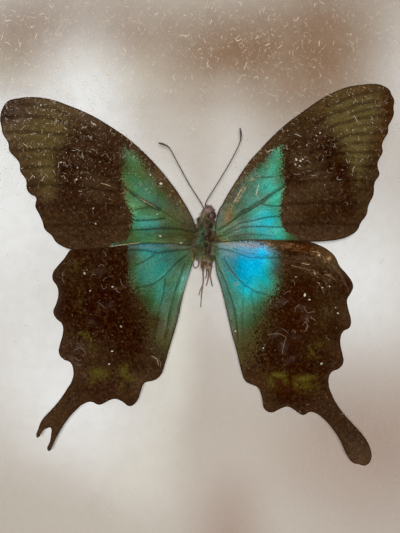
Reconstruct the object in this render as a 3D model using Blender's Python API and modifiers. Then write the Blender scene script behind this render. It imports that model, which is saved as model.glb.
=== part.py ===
"""A spread swallowtail butterfly on a pin, in a small flat wooden case with a glass lid.

The case lies on its back, so its glass faces up, +Z, and the butterfly's head points along +Y. The
origin is in the middle of the underside. The butterfly is measured in millimetres from its pin, at the
height of its wing roots, and an empty at that point carries all its pieces.
"""

import math

import bmesh
import bpy
from mathutils import Matrix, Vector

MM = 0.001

# The case
INNER_WIDTH = 118 * MM
INNER_LENGTH = 150 * MM
RAIL_WIDTH = 13 * MM
CASE_HEIGHT = 36 * MM
EDGE_ROUND = 1.2 * MM
LIP_THICKNESS = 3 * MM
LIP_SLOPE = 1.6 * MM
GLASS_THICKNESS = 2 * MM
GROOVE_DEPTH = 4 * MM
RABBET_WIDTH = 5 * MM
BASE_THICKNESS = 3 * MM
BOARD_THICKNESS = 10 * MM
GAP = 0.3 * MM

# The pin and the butterfly's place on it
PIN_X = 2.2 * MM
PIN_Y = 9.3 * MM
WING_ROOT_ABOVE_BOARD = 8 * MM
PIN_RADIUS = 0.25 * MM
PIN_DEPTH = 7.5 * MM
PIN_ABOVE_ROOTS = 2.0 * MM
PIN_TAPER = 1.5 * MM

# The wings
WING_THICKNESS = 0.25 * MM
FOREWING_LIFT = 0.65 * MM
HALF_SPAN = 50 * MM
WING_RISE = 4.0 * MM
WING_FLATTENING = 1.2 * MM
FRONT_DROOP = 0.8 * MM
REAR_DROOP = 1.4 * MM
STRIP = 9 * MM

# The body
THORAX_CENTRE = Vector((-0.1, -0.5, -1.0)) * MM
THORAX_HALF = Vector((2.1, 5.0, 2.9)) * MM
THORAX_BLUNTNESS = 0.7
STUMP_RADIUS = 1.55 * MM
STUMP_FRONT = -4.4 * MM
STUMP_REAR = -7.6 * MM
STUMP_HOLLOW = 1.1 * MM
HEAD_CENTRE = Vector((0.7, 6.3, -0.9)) * MM
HEAD_HALF = Vector((1.4, 1.45, 1.3)) * MM
EYE_HALF = Vector((0.85, 1.02, 0.9)) * MM
RIGHT_EYE = Vector((1.5, 5.85, -0.6)) * MM
LEFT_EYE = Vector((-0.1, 5.9, -1.4)) * MM
FEELER_RADIUS = 0.16 * MM
LEG_RADIUS = 0.17 * MM

BOARD_TOP = BASE_THICKNESS + GAP + BOARD_THICKNESS
GLASS_TOP = CASE_HEIGHT - LIP_THICKNESS - GAP
GLASS_BOTTOM = GLASS_TOP - GLASS_THICKNESS
ROOT_HEIGHT = BOARD_TOP + WING_ROOT_ABOVE_BOARD

# Outlines, in millimetres from the pin, from the front root along the front edge to the tip and back
FOREWING_LEFT = [
    (-2.8, 3.6), (-4.0, 6.3), (-5.9, 9.6), (-9.0, 14.1), (-14.0, 19.9), (-19.0, 24.5), (-24.0, 28.0),
    (-29.0, 30.9), (-34.0, 33.0), (-39.0, 34.7), (-43.5, 35.2), (-47.3, 34.8), (-49.5, 34.1),
    (-50.9, 32.0), (-51.4, 29.8), (-51.0, 27.5), (-50.8, 26.2), (-49.3, 23.6), (-49.0, 21.6),
    (-47.6, 20.1), (-46.5, 18.5), (-46.3, 16.5), (-44.9, 14.5), (-44.7, 12.1), (-43.8, 10.9),
    (-42.4, 10.1), (-42.6, 7.9), (-41.6, 5.9), (-40.8, 4.0), (-40.2, 2.1), (-38.5, 0.6), (-37.6, -0.9),
    (-36.0, -2.0), (-34.0, -2.8), (-29.0, -2.8), (-23.5, -2.3), (-19.0, -1.6), (-14.0, -1.3),
    (-7.8, -1.5), (-2.8, -1.3), (-2.6, 1.2),
]
FOREWING_RIGHT = [
    (2.6, 4.8), (3.1, 6.8), (4.1, 8.5), (6.0, 11.9), (8.5, 15.8), (11.0, 19.4), (13.5, 22.1),
    (16.0, 24.8), (18.5, 27.2), (21.0, 29.3), (23.5, 31.1), (26.0, 32.9), (28.5, 34.6), (31.0, 36.0),
    (33.5, 37.1), (36.0, 37.9), (39.0, 38.3), (42.3, 38.5), (44.5, 37.9), (45.8, 37.0), (46.3, 35.8),
    (47.0, 34.4), (46.8, 32.6), (46.9, 31.1), (46.4, 29.5), (45.5, 27.9), (45.5, 26.5), (44.6, 24.9),
    (43.9, 23.1), (44.1, 21.5), (43.1, 19.5), (42.8, 17.9), (43.3, 15.8), (42.1, 13.9), (41.8, 10.8),
    (40.5, 8.0), (40.1, 5.9), (38.5, 3.6), (37.9, 2.1), (36.0, 0.6), (33.5, -0.3), (29.8, -0.8),
    (25.5, -0.9), (19.8, -0.6), (12.3, -0.5), (7.3, -0.8), (2.8, -0.5), (2.4, 2.2),
]
HINDWING_LEFT = [
    (-2.8, 0.6), (-8.0, 2.2), (-16.0, 2.8), (-24.0, 1.8), (-30.0, -0.4), (-34.1, -3.1), (-35.3, -4.9),
    (-37.1, -7.0), (-38.3, -8.8), (-38.3, -10.5), (-37.3, -12.0), (-36.9, -14.0), (-37.5, -16.5),
    (-38.2, -18.6), (-37.3, -20.3), (-36.0, -21.5), (-35.8, -23.8), (-36.5, -26.5), (-36.8, -28.8),
    (-35.6, -30.4), (-34.0, -31.1), (-33.2, -33.3), (-33.5, -35.5), (-35.0, -38.1), (-37.0, -41.0),
    (-39.5, -43.8), (-41.3, -45.9), (-42.0, -47.8), (-42.5, -49.6), (-42.1, -50.0), (-41.1, -48.5),
    (-39.8, -47.6), (-38.9, -47.5), (-38.8, -49.0), (-39.1, -51.0), (-39.8, -52.9), (-39.3, -53.4),
    (-38.4, -51.8), (-36.9, -48.9), (-34.8, -45.6), (-32.5, -43.0), (-30.8, -41.6), (-28.8, -41.0),
    (-26.8, -41.8), (-24.9, -41.0), (-23.0, -40.3), (-21.0, -41.0), (-19.1, -42.2), (-17.4, -41.0),
    (-16.4, -38.5), (-15.4, -36.3), (-13.3, -35.8), (-11.5, -34.6), (-10.4, -31.8), (-9.1, -27.3),
    (-7.3, -21.3), (-5.8, -14.5), (-4.5, -9.8), (-3.4, -6.7), (-2.7, -4.6), (-2.55, -2.0),
]
HINDWING_RIGHT = [
    (2.6, 1.0), (8.0, 2.4), (15.0, 2.6), (21.0, 1.2), (25.9, -0.9), (28.0, -1.6), (31.0, -3.3),
    (32.4, -4.8), (33.4, -7.0), (35.5, -9.4), (36.8, -11.9), (36.3, -13.6), (35.3, -15.4),
    (35.6, -17.8), (36.3, -20.9), (35.9, -22.4), (34.3, -23.4), (33.6, -25.8), (34.1, -28.8),
    (34.4, -31.1), (33.4, -32.6), (31.4, -33.6), (30.7, -36.0), (31.8, -39.8), (34.0, -43.4),
    (37.0, -46.8), (39.8, -50.0), (41.3, -53.1), (41.4, -55.4), (40.1, -57.0), (38.3, -56.7),
    (36.8, -56.3), (35.3, -54.3), (33.8, -51.0), (31.8, -47.9), (29.5, -45.3), (27.3, -43.8),
    (26.0, -43.6), (24.4, -44.4), (22.6, -43.4), (20.6, -42.3), (18.5, -42.9), (16.5, -43.8),
    (14.6, -42.8), (14.3, -41.3), (13.9, -39.4), (13.0, -37.5), (11.5, -36.8), (10.0, -36.0),
    (8.9, -33.3), (7.8, -28.8), (6.3, -23.3), (5.0, -17.5), (3.6, -11.8), (2.6, -8.8), (2.3, -6.0),
    (2.3, -2.4),
]

# Centre lines of the feelers and the legs, in millimetres from the pin, from the body outward
FEELER_LEFT = [
    (-0.55, 7.65, -0.5), (-1.5, 9.3, -0.1), (-4.8, 14.2, 0.8), (-8.5, 21.0, 1.6), (-9.7, 22.8, 1.8),
    (-11.9, 23.8, 1.9),
]
FEELER_RIGHT = [
    (-0.1, 7.95, -0.5), (0.15, 9.1, -0.2), (3.2, 13.5, 0.8), (6.5, 18.8, 1.6), (8.4, 23.3, 2.2),
    (8.5, 27.4, 2.4),
]
FEELER_SWELLING = [1.0, 0.95, 0.9, 0.95, 1.5, 1.5]
HINDLEG_LEFT = [
    (-0.7, -3.4, -4.2), (-0.75, -7.5, -4.3), (-0.68, -10.7, -4.6), (-0.9, -12.5, -4.8),
    (-1.15, -14.6, -5.1), (-1.35, -17.4, -5.3),
]
HINDLEG_LEFT_SPUR = [(-0.95, -12.0, -4.75), (-1.5, -13.4, -4.5), (-1.8, -14.5, -4.4)]
HINDLEG_RIGHT = [
    (1.1, -3.0, -4.2), (1.2, -7.5, -4.2), (1.05, -9.5, -4.2), (1.3, -10.7, -4.3), (1.65, -12.2, -4.6),
]
MIDLEG_LEFT = [
    (-1.5, -2.2, -4.0), (-1.8, -6.3, -3.6), (-2.15, -7.2, -3.6), (-2.7, -7.6, -3.7), (-3.1, -7.1, -3.8),
    (-3.2, -6.4, -4.0),
]
MIDLEG_RIGHT = [(0.4, -3.0, -4.7), (0.7, -8.3, -5.1), (0.5, -10.5, -5.3), (0.1, -12.0, -5.5)]
FORELEG_LEFT = [
    (-0.1, -2.4, -4.4), (0.1, -6.0, -4.2), (0.2, -8.2, -3.7), (0.15, -9.3, -3.6), (-0.2, -10.2, -3.8),
]
FORELEG_RIGHT = [(1.0, 3.6, -3.9), (1.7, 1.2, -4.6), (1.5, -1.6, -4.5), (1.9, -2.8, -4.4)]

# How far the torn rim of the stump reaches back at each of its corners, in millimetres
TORN_RIM = [0.0, 0.35, 0.1, 0.5, 0.2, -0.25, 0.3, 0.05, 0.45, 0.15, -0.2, 0.4, 0.1, 0.3]


# ---------------------------------------------------------------- helpers

def clear_scene():
    """Remove every object that the new file starts with."""
    for obj in list(bpy.data.objects):
        bpy.data.objects.remove(obj, do_unlink=True)


def new_collection(name):
    """Make a collection in the scene."""
    collection = bpy.data.collections.new(name)
    bpy.context.scene.collection.children.link(collection)
    return collection


def add_object(name, data, collection, parent=None):
    """Put a mesh, a curve or an empty (no data) in a collection."""
    obj = bpy.data.objects.new(name, data)
    obj.parent = parent
    collection.objects.link(obj)
    return obj


def finish(obj, colour, roughness, metallic=0.0, alpha=1.0):
    """Give a piece its own Principled material."""
    material = bpy.data.materials.new(obj.name + "_finish")
    material.use_nodes = True
    shader = material.node_tree.nodes["Principled BSDF"]
    shader.inputs["Base Color"].default_value = (*colour, 1.0)
    shader.inputs["Roughness"].default_value = roughness
    shader.inputs["Metallic"].default_value = metallic
    shader.inputs["Alpha"].default_value = alpha
    obj.data.materials.clear()
    obj.data.materials.append(material)


def shade_round(mesh, angle=40):
    """Shade a piece smooth, apart from edges sharper than the angle."""
    mesh.shade_smooth()
    mesh.set_sharp_from_angle(angle=math.radians(angle))


def mesh_from_bmesh(name, shape):
    """Turn a bmesh into a mesh with its faces pointing out."""
    bmesh.ops.recalc_face_normals(shape, faces=shape.faces)
    mesh = bpy.data.meshes.new(name)
    shape.to_mesh(mesh)
    shape.free()
    return mesh


def curve_as_bmesh(curve):
    """Read a curve's evaluated surface, with its caps welded on, and remove the curve."""
    guide = add_object("guide", curve, bpy.context.scene.collection)
    evaluated = guide.evaluated_get(bpy.context.evaluated_depsgraph_get())
    mesh = bpy.data.meshes.new_from_object(evaluated)
    shape = bmesh.new()
    shape.from_mesh(mesh)
    bmesh.ops.remove_doubles(shape, verts=shape.verts, dist=0.005 * MM)
    bpy.data.objects.remove(guide, do_unlink=True)
    bpy.data.meshes.remove(mesh)
    return shape


def smooth_spline(curve, points, swelling=None, closed=False):
    """Run a smooth spline through points that are given in millimetres."""
    spline = curve.splines.new("BEZIER")
    spline.bezier_points.add(len(points) - 1)
    for number, (knot, point) in enumerate(zip(spline.bezier_points, points)):
        knot.co = Vector((*point, 0.0)[:3]) * MM
        knot.handle_left_type = "AUTO"
        knot.handle_right_type = "AUTO"
        knot.radius = swelling[number] if swelling else 1.0
    spline.use_cyclic_u = closed


def wire_mesh(name, points, radius, swelling=None):
    """Make a round wire along a smooth line, such as a leg or a feeler."""
    curve = bpy.data.curves.new(name, "CURVE")
    curve.dimensions = "3D"
    curve.resolution_u = 4
    curve.bevel_depth = radius
    curve.bevel_resolution = 1
    curve.use_fill_caps = True
    smooth_spline(curve, points, swelling)
    mesh = mesh_from_bmesh(name, curve_as_bmesh(curve))
    shade_round(mesh, 60)
    return mesh


def ball_mesh(name, centre, half, bluntness=1.0, segments=20, rings=12):
    """Make an egg-shaped solid; a bluntness below 1 widens its two ends along Y."""
    shape = bmesh.new()
    bmesh.ops.create_uvsphere(shape, u_segments=segments, v_segments=rings, radius=1.0)
    bmesh.ops.rotate(shape, verts=shape.verts, matrix=Matrix.Rotation(math.radians(90), 3, "X"))
    for vertex in shape.verts:
        x, y, z = vertex.co
        along = math.copysign(abs(y) ** bluntness, y)
        vertex.co = Vector((x * half.x, along * half.y, z * half.z)) + centre
    mesh = mesh_from_bmesh(name, shape)
    shade_round(mesh)
    return mesh


def box_mesh(name, width, length, bottom, top):
    """Make a box centred on the Z axis, from one height to another."""
    shape = bmesh.new()
    bmesh.ops.create_cube(shape, size=1.0)
    bmesh.ops.scale(shape, verts=shape.verts, vec=(width, length, top - bottom))
    bmesh.ops.translate(shape, verts=shape.verts, vec=(0, 0, (top + bottom) / 2))
    return mesh_from_bmesh(name, shape)


def cut_or_join(obj, other, operation):
    """Boolean one piece with another, which is kept apart as a wire guide."""
    other.hide_render = True
    other.display_type = "WIRE"
    modifier = obj.modifiers.new(operation.lower(), "BOOLEAN")
    modifier.operation = operation
    modifier.solver = "EXACT"
    modifier.object = other


# ---------------------------------------------------------------- the case

def rail_profile():
    """Trace a rail's cross-section: distance outward from the inner face, and height."""
    corner = EDGE_ROUND * (1 - math.sqrt(0.5))
    return [
        (RABBET_WIDTH, 0.0),
        (RAIL_WIDTH - EDGE_ROUND, 0.0),
        (RAIL_WIDTH - corner, corner),
        (RAIL_WIDTH, EDGE_ROUND),
        (RAIL_WIDTH, CASE_HEIGHT - EDGE_ROUND),
        (RAIL_WIDTH - corner, CASE_HEIGHT - corner),
        (RAIL_WIDTH - EDGE_ROUND, CASE_HEIGHT),
        (LIP_SLOPE, CASE_HEIGHT),
        (0.0, CASE_HEIGHT - LIP_SLOPE),
        (0.0, GLASS_TOP + GAP),
        (GROOVE_DEPTH, GLASS_TOP + GAP),
        (GROOVE_DEPTH, GLASS_BOTTOM - GAP),
        (0.0, GLASS_BOTTOM - GAP),
        (0.0, BASE_THICKNESS + GAP),
        (RABBET_WIDTH, BASE_THICKNESS + GAP),
    ]


def rail_mesh(name, inner_length):
    """Extrude the profile and saw both ends to a mitre; the rail runs along X with its outside at -Y."""
    profile = bpy.data.curves.new(name, "CURVE")
    profile.dimensions = "2D"
    profile.fill_mode = "BOTH"
    profile.extrude = inner_length / 2 + RAIL_WIDTH
    spline = profile.splines.new("POLY")
    corners = rail_profile()
    spline.points.add(len(corners) - 1)
    for point, (outward, height) in zip(spline.points, corners):
        point.co = (outward, height, 0.0, 1.0)
    spline.use_cyclic_u = True
    shape = curve_as_bmesh(profile)
    # The profile's X, Y and Z become the rail's -Y, Z and -X.
    turn = Matrix(((0, 0, -1), (-1, 0, 0), (0, 1, 0)))
    for vertex in shape.verts:
        vertex.co = turn @ vertex.co
    for side in (-1, 1):
        saw_point = (side * (inner_length / 2 - GAP * math.sqrt(0.5)), 0, 0)
        saw_normal = (side, 1, 0)
        everything = shape.verts[:] + shape.edges[:] + shape.faces[:]
        bmesh.ops.bisect_plane(
            shape, geom=everything, plane_co=saw_point, plane_no=saw_normal, clear_outer=True
        )
        bmesh.ops.holes_fill(shape, edges=[edge for edge in shape.edges if edge.is_boundary])
    return mesh_from_bmesh(name, shape)


def make_rails(collection):
    """Set the four rails round the inside of the case, front and back across, left and right along."""
    places = {
        "rail_front": (INNER_WIDTH, (0, -INNER_LENGTH / 2), 0),
        "rail_right": (INNER_LENGTH, (INNER_WIDTH / 2, 0), 90),
        "rail_back": (INNER_WIDTH, (0, INNER_LENGTH / 2), 180),
        "rail_left": (INNER_LENGTH, (-INNER_WIDTH / 2, 0), 270),
    }
    for name, (inner_length, (x, y), angle) in places.items():
        rail = add_object(name, rail_mesh(name, inner_length), collection)
        rail.location = (x, y, 0)
        rail.rotation_euler.z = math.radians(angle)
        finish(rail, (0.035, 0.020, 0.012), 0.45)


def make_panels(collection):
    """Make the base let into the rails, the pinning board on it and the glass in its groove."""
    rabbet = 2 * (RABBET_WIDTH - GAP)
    base = box_mesh("base_panel", INNER_WIDTH + rabbet, INNER_LENGTH + rabbet, 0.0, BASE_THICKNESS)
    finish(add_object("base_panel", base, collection), (0.30, 0.20, 0.12), 0.7)

    groove = 2 * (GROOVE_DEPTH - GAP)
    glass = box_mesh("glass_pane", INNER_WIDTH + groove, INNER_LENGTH + groove, GLASS_BOTTOM, GLASS_TOP)
    finish(add_object("glass_pane", glass, collection), (0.9, 0.95, 0.93), 0.05, alpha=0.2)


def make_pinning_board(collection, cutters):
    """Make the board, with the blind hole that the pin stands in."""
    width = INNER_WIDTH - 2 * GAP
    length = INNER_LENGTH - 2 * GAP
    board_mesh = box_mesh("pinning_board", width, length, BASE_THICKNESS + GAP, BOARD_TOP)
    board = add_object("pinning_board", board_mesh, collection)
    finish(board, (0.62, 0.60, 0.56), 0.9)

    hole = bmesh.new()
    depth = PIN_DEPTH + GAP
    bmesh.ops.create_cone(
        hole, cap_ends=True, segments=12, radius1=PIN_RADIUS + GAP, radius2=PIN_RADIUS + GAP,
        depth=2 * depth, matrix=Matrix.Translation((PIN_X, PIN_Y, BOARD_TOP)),
    )
    cutter = add_object("pin_hole_cutter", mesh_from_bmesh("pin_hole_cutter", hole), cutters)
    cut_or_join(board, cutter, "DIFFERENCE")


# ---------------------------------------------------------------- the butterfly

def wing_height(x, y):
    """Height of a spread wing above its root: it rises outward, and droops a little in front and behind."""
    outward = abs(x) / HALF_SPAN
    rise = WING_RISE * outward - WING_FLATTENING * outward ** 2
    forward = max(0.0, y / HALF_SPAN)
    backward = max(0.0, (-y - 0.2 * HALF_SPAN) / HALF_SPAN)
    return rise - FRONT_DROOP * forward ** 2 - REAR_DROOP * backward ** 2


def wing_mesh(name, outline, lift):
    """Fill an outline, part it so that it can bend, raise it to the wing's curve and thicken it."""
    curve = bpy.data.curves.new(name, "CURVE")
    curve.dimensions = "2D"
    curve.fill_mode = "BOTH"
    curve.resolution_u = 3
    smooth_spline(curve, outline, closed=True)
    sheet = curve_as_bmesh(curve)
    bmesh.ops.dissolve_faces(sheet, faces=sheet.faces[:])
    for axis in (0, 1):
        reach = [vertex.co[axis] for vertex in sheet.verts]
        for number in range(math.ceil(min(reach) / STRIP), math.floor(max(reach) / STRIP) + 1):
            line = Vector((0, 0, 0))
            line[axis] = 1.0
            everything = sheet.verts[:] + sheet.edges[:] + sheet.faces[:]
            bmesh.ops.bisect_plane(
                sheet, geom=everything, plane_co=line * number * STRIP, plane_no=line, dist=0.02 * MM
            )
    for vertex in sheet.verts:
        vertex.co.z = lift + wing_height(vertex.co.x, vertex.co.y)
    for face in sheet.faces:
        if face.normal.z < 0:
            face.normal_flip()
    mesh = bpy.data.meshes.new(name)
    sheet.to_mesh(mesh)
    sheet.free()
    return mesh


def make_wings(collection, place):
    """Make the four wings; the forewings lie over the hindwings."""
    wings = {
        "forewing_left": (FOREWING_LEFT, FOREWING_LIFT, (0.028, 0.060, 0.045)),
        "forewing_right": (FOREWING_RIGHT, FOREWING_LIFT, (0.030, 0.110, 0.095)),
        "hindwing_left": (HINDWING_LEFT, 0.0, (0.022, 0.035, 0.025)),
        "hindwing_right": (HINDWING_RIGHT, 0.0, (0.022, 0.080, 0.100)),
    }
    for name, (outline, lift, colour) in wings.items():
        wing = add_object(name, wing_mesh(name, outline, lift), collection, place)
        thicken = wing.modifiers.new("thickness", "SOLIDIFY")
        thicken.thickness = WING_THICKNESS
        thicken.offset = 0.0
        finish(wing, colour, 0.6)


def stump_mesh():
    """Make the torn rear of the thorax: a short tube with a hollow end and a ragged rim."""
    sides = len(TORN_RIM)
    length = STUMP_FRONT - STUMP_REAR
    shape = bmesh.new()
    bmesh.ops.create_cone(
        shape, cap_ends=True, segments=sides, radius1=STUMP_RADIUS * 0.86, radius2=STUMP_RADIUS,
        depth=length, matrix=Matrix.Rotation(math.radians(-90), 4, "X"),
    )
    rear = min(shape.faces, key=lambda face: face.calc_center_median().y)
    bmesh.ops.inset_region(shape, faces=[rear], thickness=0.35 * MM)
    for vertex in rear.verts:
        vertex.co.y += STUMP_HOLLOW
    inner = set(rear.verts)
    rim = [vertex for vertex in shape.verts if vertex.co.y < -0.4 * length and vertex not in inner]
    for vertex in rim:
        around = (math.atan2(vertex.co.z, vertex.co.x) / math.tau) % 1.0
        vertex.co.y -= TORN_RIM[round(around * sides) % sides] * MM
    centre = Vector((THORAX_CENTRE.x + 0.15 * MM, (STUMP_FRONT + STUMP_REAR) / 2, THORAX_CENTRE.z))
    bmesh.ops.translate(shape, verts=shape.verts, vec=centre)
    return mesh_from_bmesh("thorax_stump", shape)


def make_body(collection, cutters, place):
    """Make the thorax with its torn rear and its pin hole, and the head with both eyes."""
    thorax_mesh = ball_mesh("thorax", THORAX_CENTRE, THORAX_HALF, THORAX_BLUNTNESS, 28, 20)
    thorax = add_object("thorax", thorax_mesh, collection, place)
    cut_or_join(thorax, add_object("thorax_stump", stump_mesh(), cutters, place), "UNION")
    hole = bmesh.new()
    bmesh.ops.create_cone(
        hole, cap_ends=True, segments=12, radius1=PIN_RADIUS + GAP, radius2=PIN_RADIUS + GAP,
        depth=4 * THORAX_HALF.z,
    )
    cutter = add_object("thorax_hole_cutter", mesh_from_bmesh("thorax_hole_cutter", hole), cutters, place)
    cut_or_join(thorax, cutter, "DIFFERENCE")
    finish(thorax, (0.045, 0.042, 0.022), 0.8)

    head = add_object("head", ball_mesh("head", HEAD_CENTRE, HEAD_HALF), collection, place)
    for name, centre in (("eye_right", RIGHT_EYE), ("eye_left", LEFT_EYE)):
        eye = add_object(name, ball_mesh(name, centre, EYE_HALF, segments=16, rings=10), cutters, place)
        cut_or_join(head, eye, "UNION")
    finish(head, (0.060, 0.035, 0.028), 0.5)


def make_limbs(collection, cutters, place):
    """Make the two feelers and the six legs."""
    for name, line in (("antenna_left", FEELER_LEFT), ("antenna_right", FEELER_RIGHT)):
        mesh = wire_mesh(name, line, FEELER_RADIUS, FEELER_SWELLING)
        finish(add_object(name, mesh, collection, place), (0.020, 0.015, 0.012), 0.5)

    legs = {
        "foreleg_left": FORELEG_LEFT,
        "foreleg_right": FORELEG_RIGHT,
        "midleg_left": MIDLEG_LEFT,
        "midleg_right": MIDLEG_RIGHT,
        "hindleg_left": HINDLEG_LEFT,
        "hindleg_right": HINDLEG_RIGHT,
    }
    for name, line in legs.items():
        leg = add_object(name, wire_mesh(name, line, LEG_RADIUS), collection, place)
        finish(leg, (0.060, 0.045, 0.035), 0.6)
        if name == "hindleg_left":
            spur_mesh = wire_mesh("leg_spur", HINDLEG_LEFT_SPUR, 0.7 * LEG_RADIUS)
            cut_or_join(leg, add_object("leg_spur", spur_mesh, cutters, place), "UNION")


def make_pin(collection, place):
    """Make the headless pin, with a tapered point in the board."""
    bottom = -WING_ROOT_ABOVE_BOARD - PIN_DEPTH
    curve = bpy.data.curves.new("pin", "CURVE")
    curve.dimensions = "3D"
    curve.bevel_depth = PIN_RADIUS
    curve.bevel_resolution = 2
    curve.use_fill_caps = True
    spline = curve.splines.new("POLY")
    spline.points.add(2)
    stations = [(bottom, 0.2), (bottom + PIN_TAPER, 1.0), (PIN_ABOVE_ROOTS, 1.0)]
    for point, (height, swelling) in zip(spline.points, stations):
        point.co = (0, 0, height, 1)
        point.radius = swelling
    mesh = mesh_from_bmesh("pin", curve_as_bmesh(curve))
    shade_round(mesh)
    finish(add_object("pin", mesh, collection, place), (0.45, 0.43, 0.38), 0.35, metallic=1.0)


def main():
    """Build the case and the butterfly."""
    clear_scene()
    parts = new_collection("butterfly_case")
    cutters = new_collection("cutters")
    make_rails(parts)
    make_panels(parts)
    make_pinning_board(parts, cutters)
    place = add_object("pin_place", None, parts)
    place.location = (PIN_X, PIN_Y, ROOT_HEIGHT)
    make_wings(parts, place)
    make_body(parts, cutters, place)
    make_limbs(parts, cutters, place)
    make_pin(parts, place)


main()
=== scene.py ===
# %% [markdown]
# # A swallowtail butterfly pinned in a small glazed case
#
# The real object is a dried butterfly on a steel pin, over a board covered with pale paper, in a flat wooden
# case whose one pane of glass has gathered dust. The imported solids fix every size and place. This lesson gives
# each surface its finish, and makes the thin, hairy and dusty things finer than the solids hold them.

# %% Load the solids
import math

import bpy
import numpy as np
from mathutils import Matrix, Vector


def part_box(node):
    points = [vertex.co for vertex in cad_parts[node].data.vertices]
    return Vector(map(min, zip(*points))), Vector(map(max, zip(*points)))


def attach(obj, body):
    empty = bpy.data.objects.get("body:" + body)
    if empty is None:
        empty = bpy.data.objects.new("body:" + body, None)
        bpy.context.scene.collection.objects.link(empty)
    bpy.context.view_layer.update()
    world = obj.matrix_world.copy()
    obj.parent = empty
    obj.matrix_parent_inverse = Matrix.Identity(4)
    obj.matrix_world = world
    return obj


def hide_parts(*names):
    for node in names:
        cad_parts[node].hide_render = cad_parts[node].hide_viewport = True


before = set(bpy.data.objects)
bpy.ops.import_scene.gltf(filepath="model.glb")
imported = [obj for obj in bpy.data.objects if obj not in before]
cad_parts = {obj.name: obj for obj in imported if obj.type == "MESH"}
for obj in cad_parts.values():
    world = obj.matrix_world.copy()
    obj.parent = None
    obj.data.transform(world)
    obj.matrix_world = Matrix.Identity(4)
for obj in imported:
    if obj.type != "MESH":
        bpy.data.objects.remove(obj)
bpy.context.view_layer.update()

# %% [markdown]
# ## Where everything is measured from
#
# A setter works outward from the pin, so the butterfly's places are given in millimetres from the pin, at the
# height of the wing roots. The pin's own solid says where that is, which keeps this script in step with it.

# %% The pin as the starting point
MM = 0.001
PIN_ABOVE_ROOTS = 2.0 * MM
pin_low, pin_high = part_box("pin")
PIN = Vector(((pin_low.x + pin_high.x) / 2, (pin_low.y + pin_high.y) / 2, pin_high.z - PIN_ABOVE_ROOTS))
GLASS_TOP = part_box("glass_pane")[1].z


def from_pin(x, y, z=0.0):
    """A place that is given in millimetres from the pin."""
    return PIN + Vector((x, y, z)) * MM


print("pin at", [round(1000 * value, 2) for value in PIN], "mm")

# %% [markdown]
# ## Camera
#
# The case is looked at from straight above, as a visitor bends over it. The picture is 533 pixels high, and a
# millimetre at the wings takes 4 of them, which sets the lens.

# %% Camera
PICTURE_HEIGHT_PX = 533
PX_PER_MM = 4.0
SENSOR_HEIGHT = 36.0
CAMERA_DISTANCE = 400 * MM
WINGS_ABOVE_ROOTS = 2.3
picture_middle = from_pin(-1.5, -7.125, WINGS_ABOVE_ROOTS)
picture_height = PICTURE_HEIGHT_PX / PX_PER_MM * MM

bpy.ops.object.camera_add(location=picture_middle + Vector((0, 0, CAMERA_DISTANCE)), rotation=(0, 0, 0))
camera = bpy.context.object
camera.data.sensor_fit = "VERTICAL"
camera.data.sensor_height = SENSOR_HEIGHT
camera.data.lens = SENSOR_HEIGHT * CAMERA_DISTANCE / picture_height
bpy.context.scene.camera = camera
bpy.context.scene.view_settings.view_transform = "Standard"
print("lens", round(camera.data.lens, 2), "mm")

# %% [markdown]
# ## Light
#
# A small lamp hangs far above the case, nearly in line with the camera, so that the wings hide their own
# shadow. The room adds an even light from all round, and a weak, wide lamp on either side gives the case form.

# %% Room light and lamps
ROOM_COLOUR = (1.0, 0.985, 0.96, 1.0)
ROOM_STRENGTH = 0.15
world = bpy.data.worlds.new("room")
bpy.context.scene.world = world
world.use_nodes = True
world.node_tree.nodes["Background"].inputs["Color"].default_value = ROOM_COLOUR
world.node_tree.nodes["Background"].inputs["Strength"].default_value = ROOM_STRENGTH


def hang_lamp(name, place, size, power, colour):
    """Hang a soft light that faces the case."""
    bpy.ops.object.light_add(type="AREA", location=place)
    lamp = bpy.context.object
    lamp.name = name
    lamp.rotation_euler = (-Vector(place)).to_track_quat("-Z", "Y").to_euler()
    lamp.data.size = size
    lamp.data.energy = power
    lamp.data.color = colour


hang_lamp("ceiling_light", (-0.008, 0.012, 1.1), size=0.12, power=9.1, colour=(1.0, 0.995, 0.98))
hang_lamp("side_lamp_left", (-0.75, 0.35, 0.75), size=0.9, power=1.0, colour=(0.95, 0.98, 1.0))
hang_lamp("side_lamp_right", (0.8, -0.5, 0.9), size=0.8, power=0.6, colour=(1.0, 0.95, 0.88))
print("room strength", ROOM_STRENGTH)

# %% [markdown]
# ## Three small helpers for modelling
#
# Blender's operators act on whatever is selected. One helper makes a piece the only selected one, one picks
# faces in edit mode by a rule instead of by clicking, and one adds a modifier and applies it at once.

# %% Modelling helpers
def take(piece):
    """Make one piece the only selected and active one."""
    bpy.ops.object.select_all(action="DESELECT")
    piece.select_set(True)
    bpy.context.view_layer.objects.active = piece


def pick_faces(piece, rule):
    """Go into edit mode with just the faces selected that follow the rule."""
    take(piece)
    mesh = piece.data
    mesh.vertices.foreach_set("select", [False] * len(mesh.vertices))
    mesh.edges.foreach_set("select", [False] * len(mesh.edges))
    mesh.polygons.foreach_set("select", [bool(rule(face)) for face in mesh.polygons])
    bpy.context.tool_settings.mesh_select_mode = (False, False, True)
    bpy.ops.object.mode_set(mode="EDIT")


def edit_all(piece):
    """Go into edit mode with everything selected."""
    take(piece)
    bpy.ops.object.mode_set(mode="EDIT")
    bpy.ops.mesh.select_all(action="SELECT")


def leave_edit():
    """Go back to object mode."""
    bpy.ops.object.mode_set(mode="OBJECT")


def with_modifier(piece, kind, **settings):
    """Add a modifier, set it and apply it."""
    take(piece)
    modifier = piece.modifiers.new(kind.lower(), kind)
    for setting, value in settings.items():
        setattr(modifier, setting, value)
    bpy.ops.object.modifier_apply(modifier=modifier.name)


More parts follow.
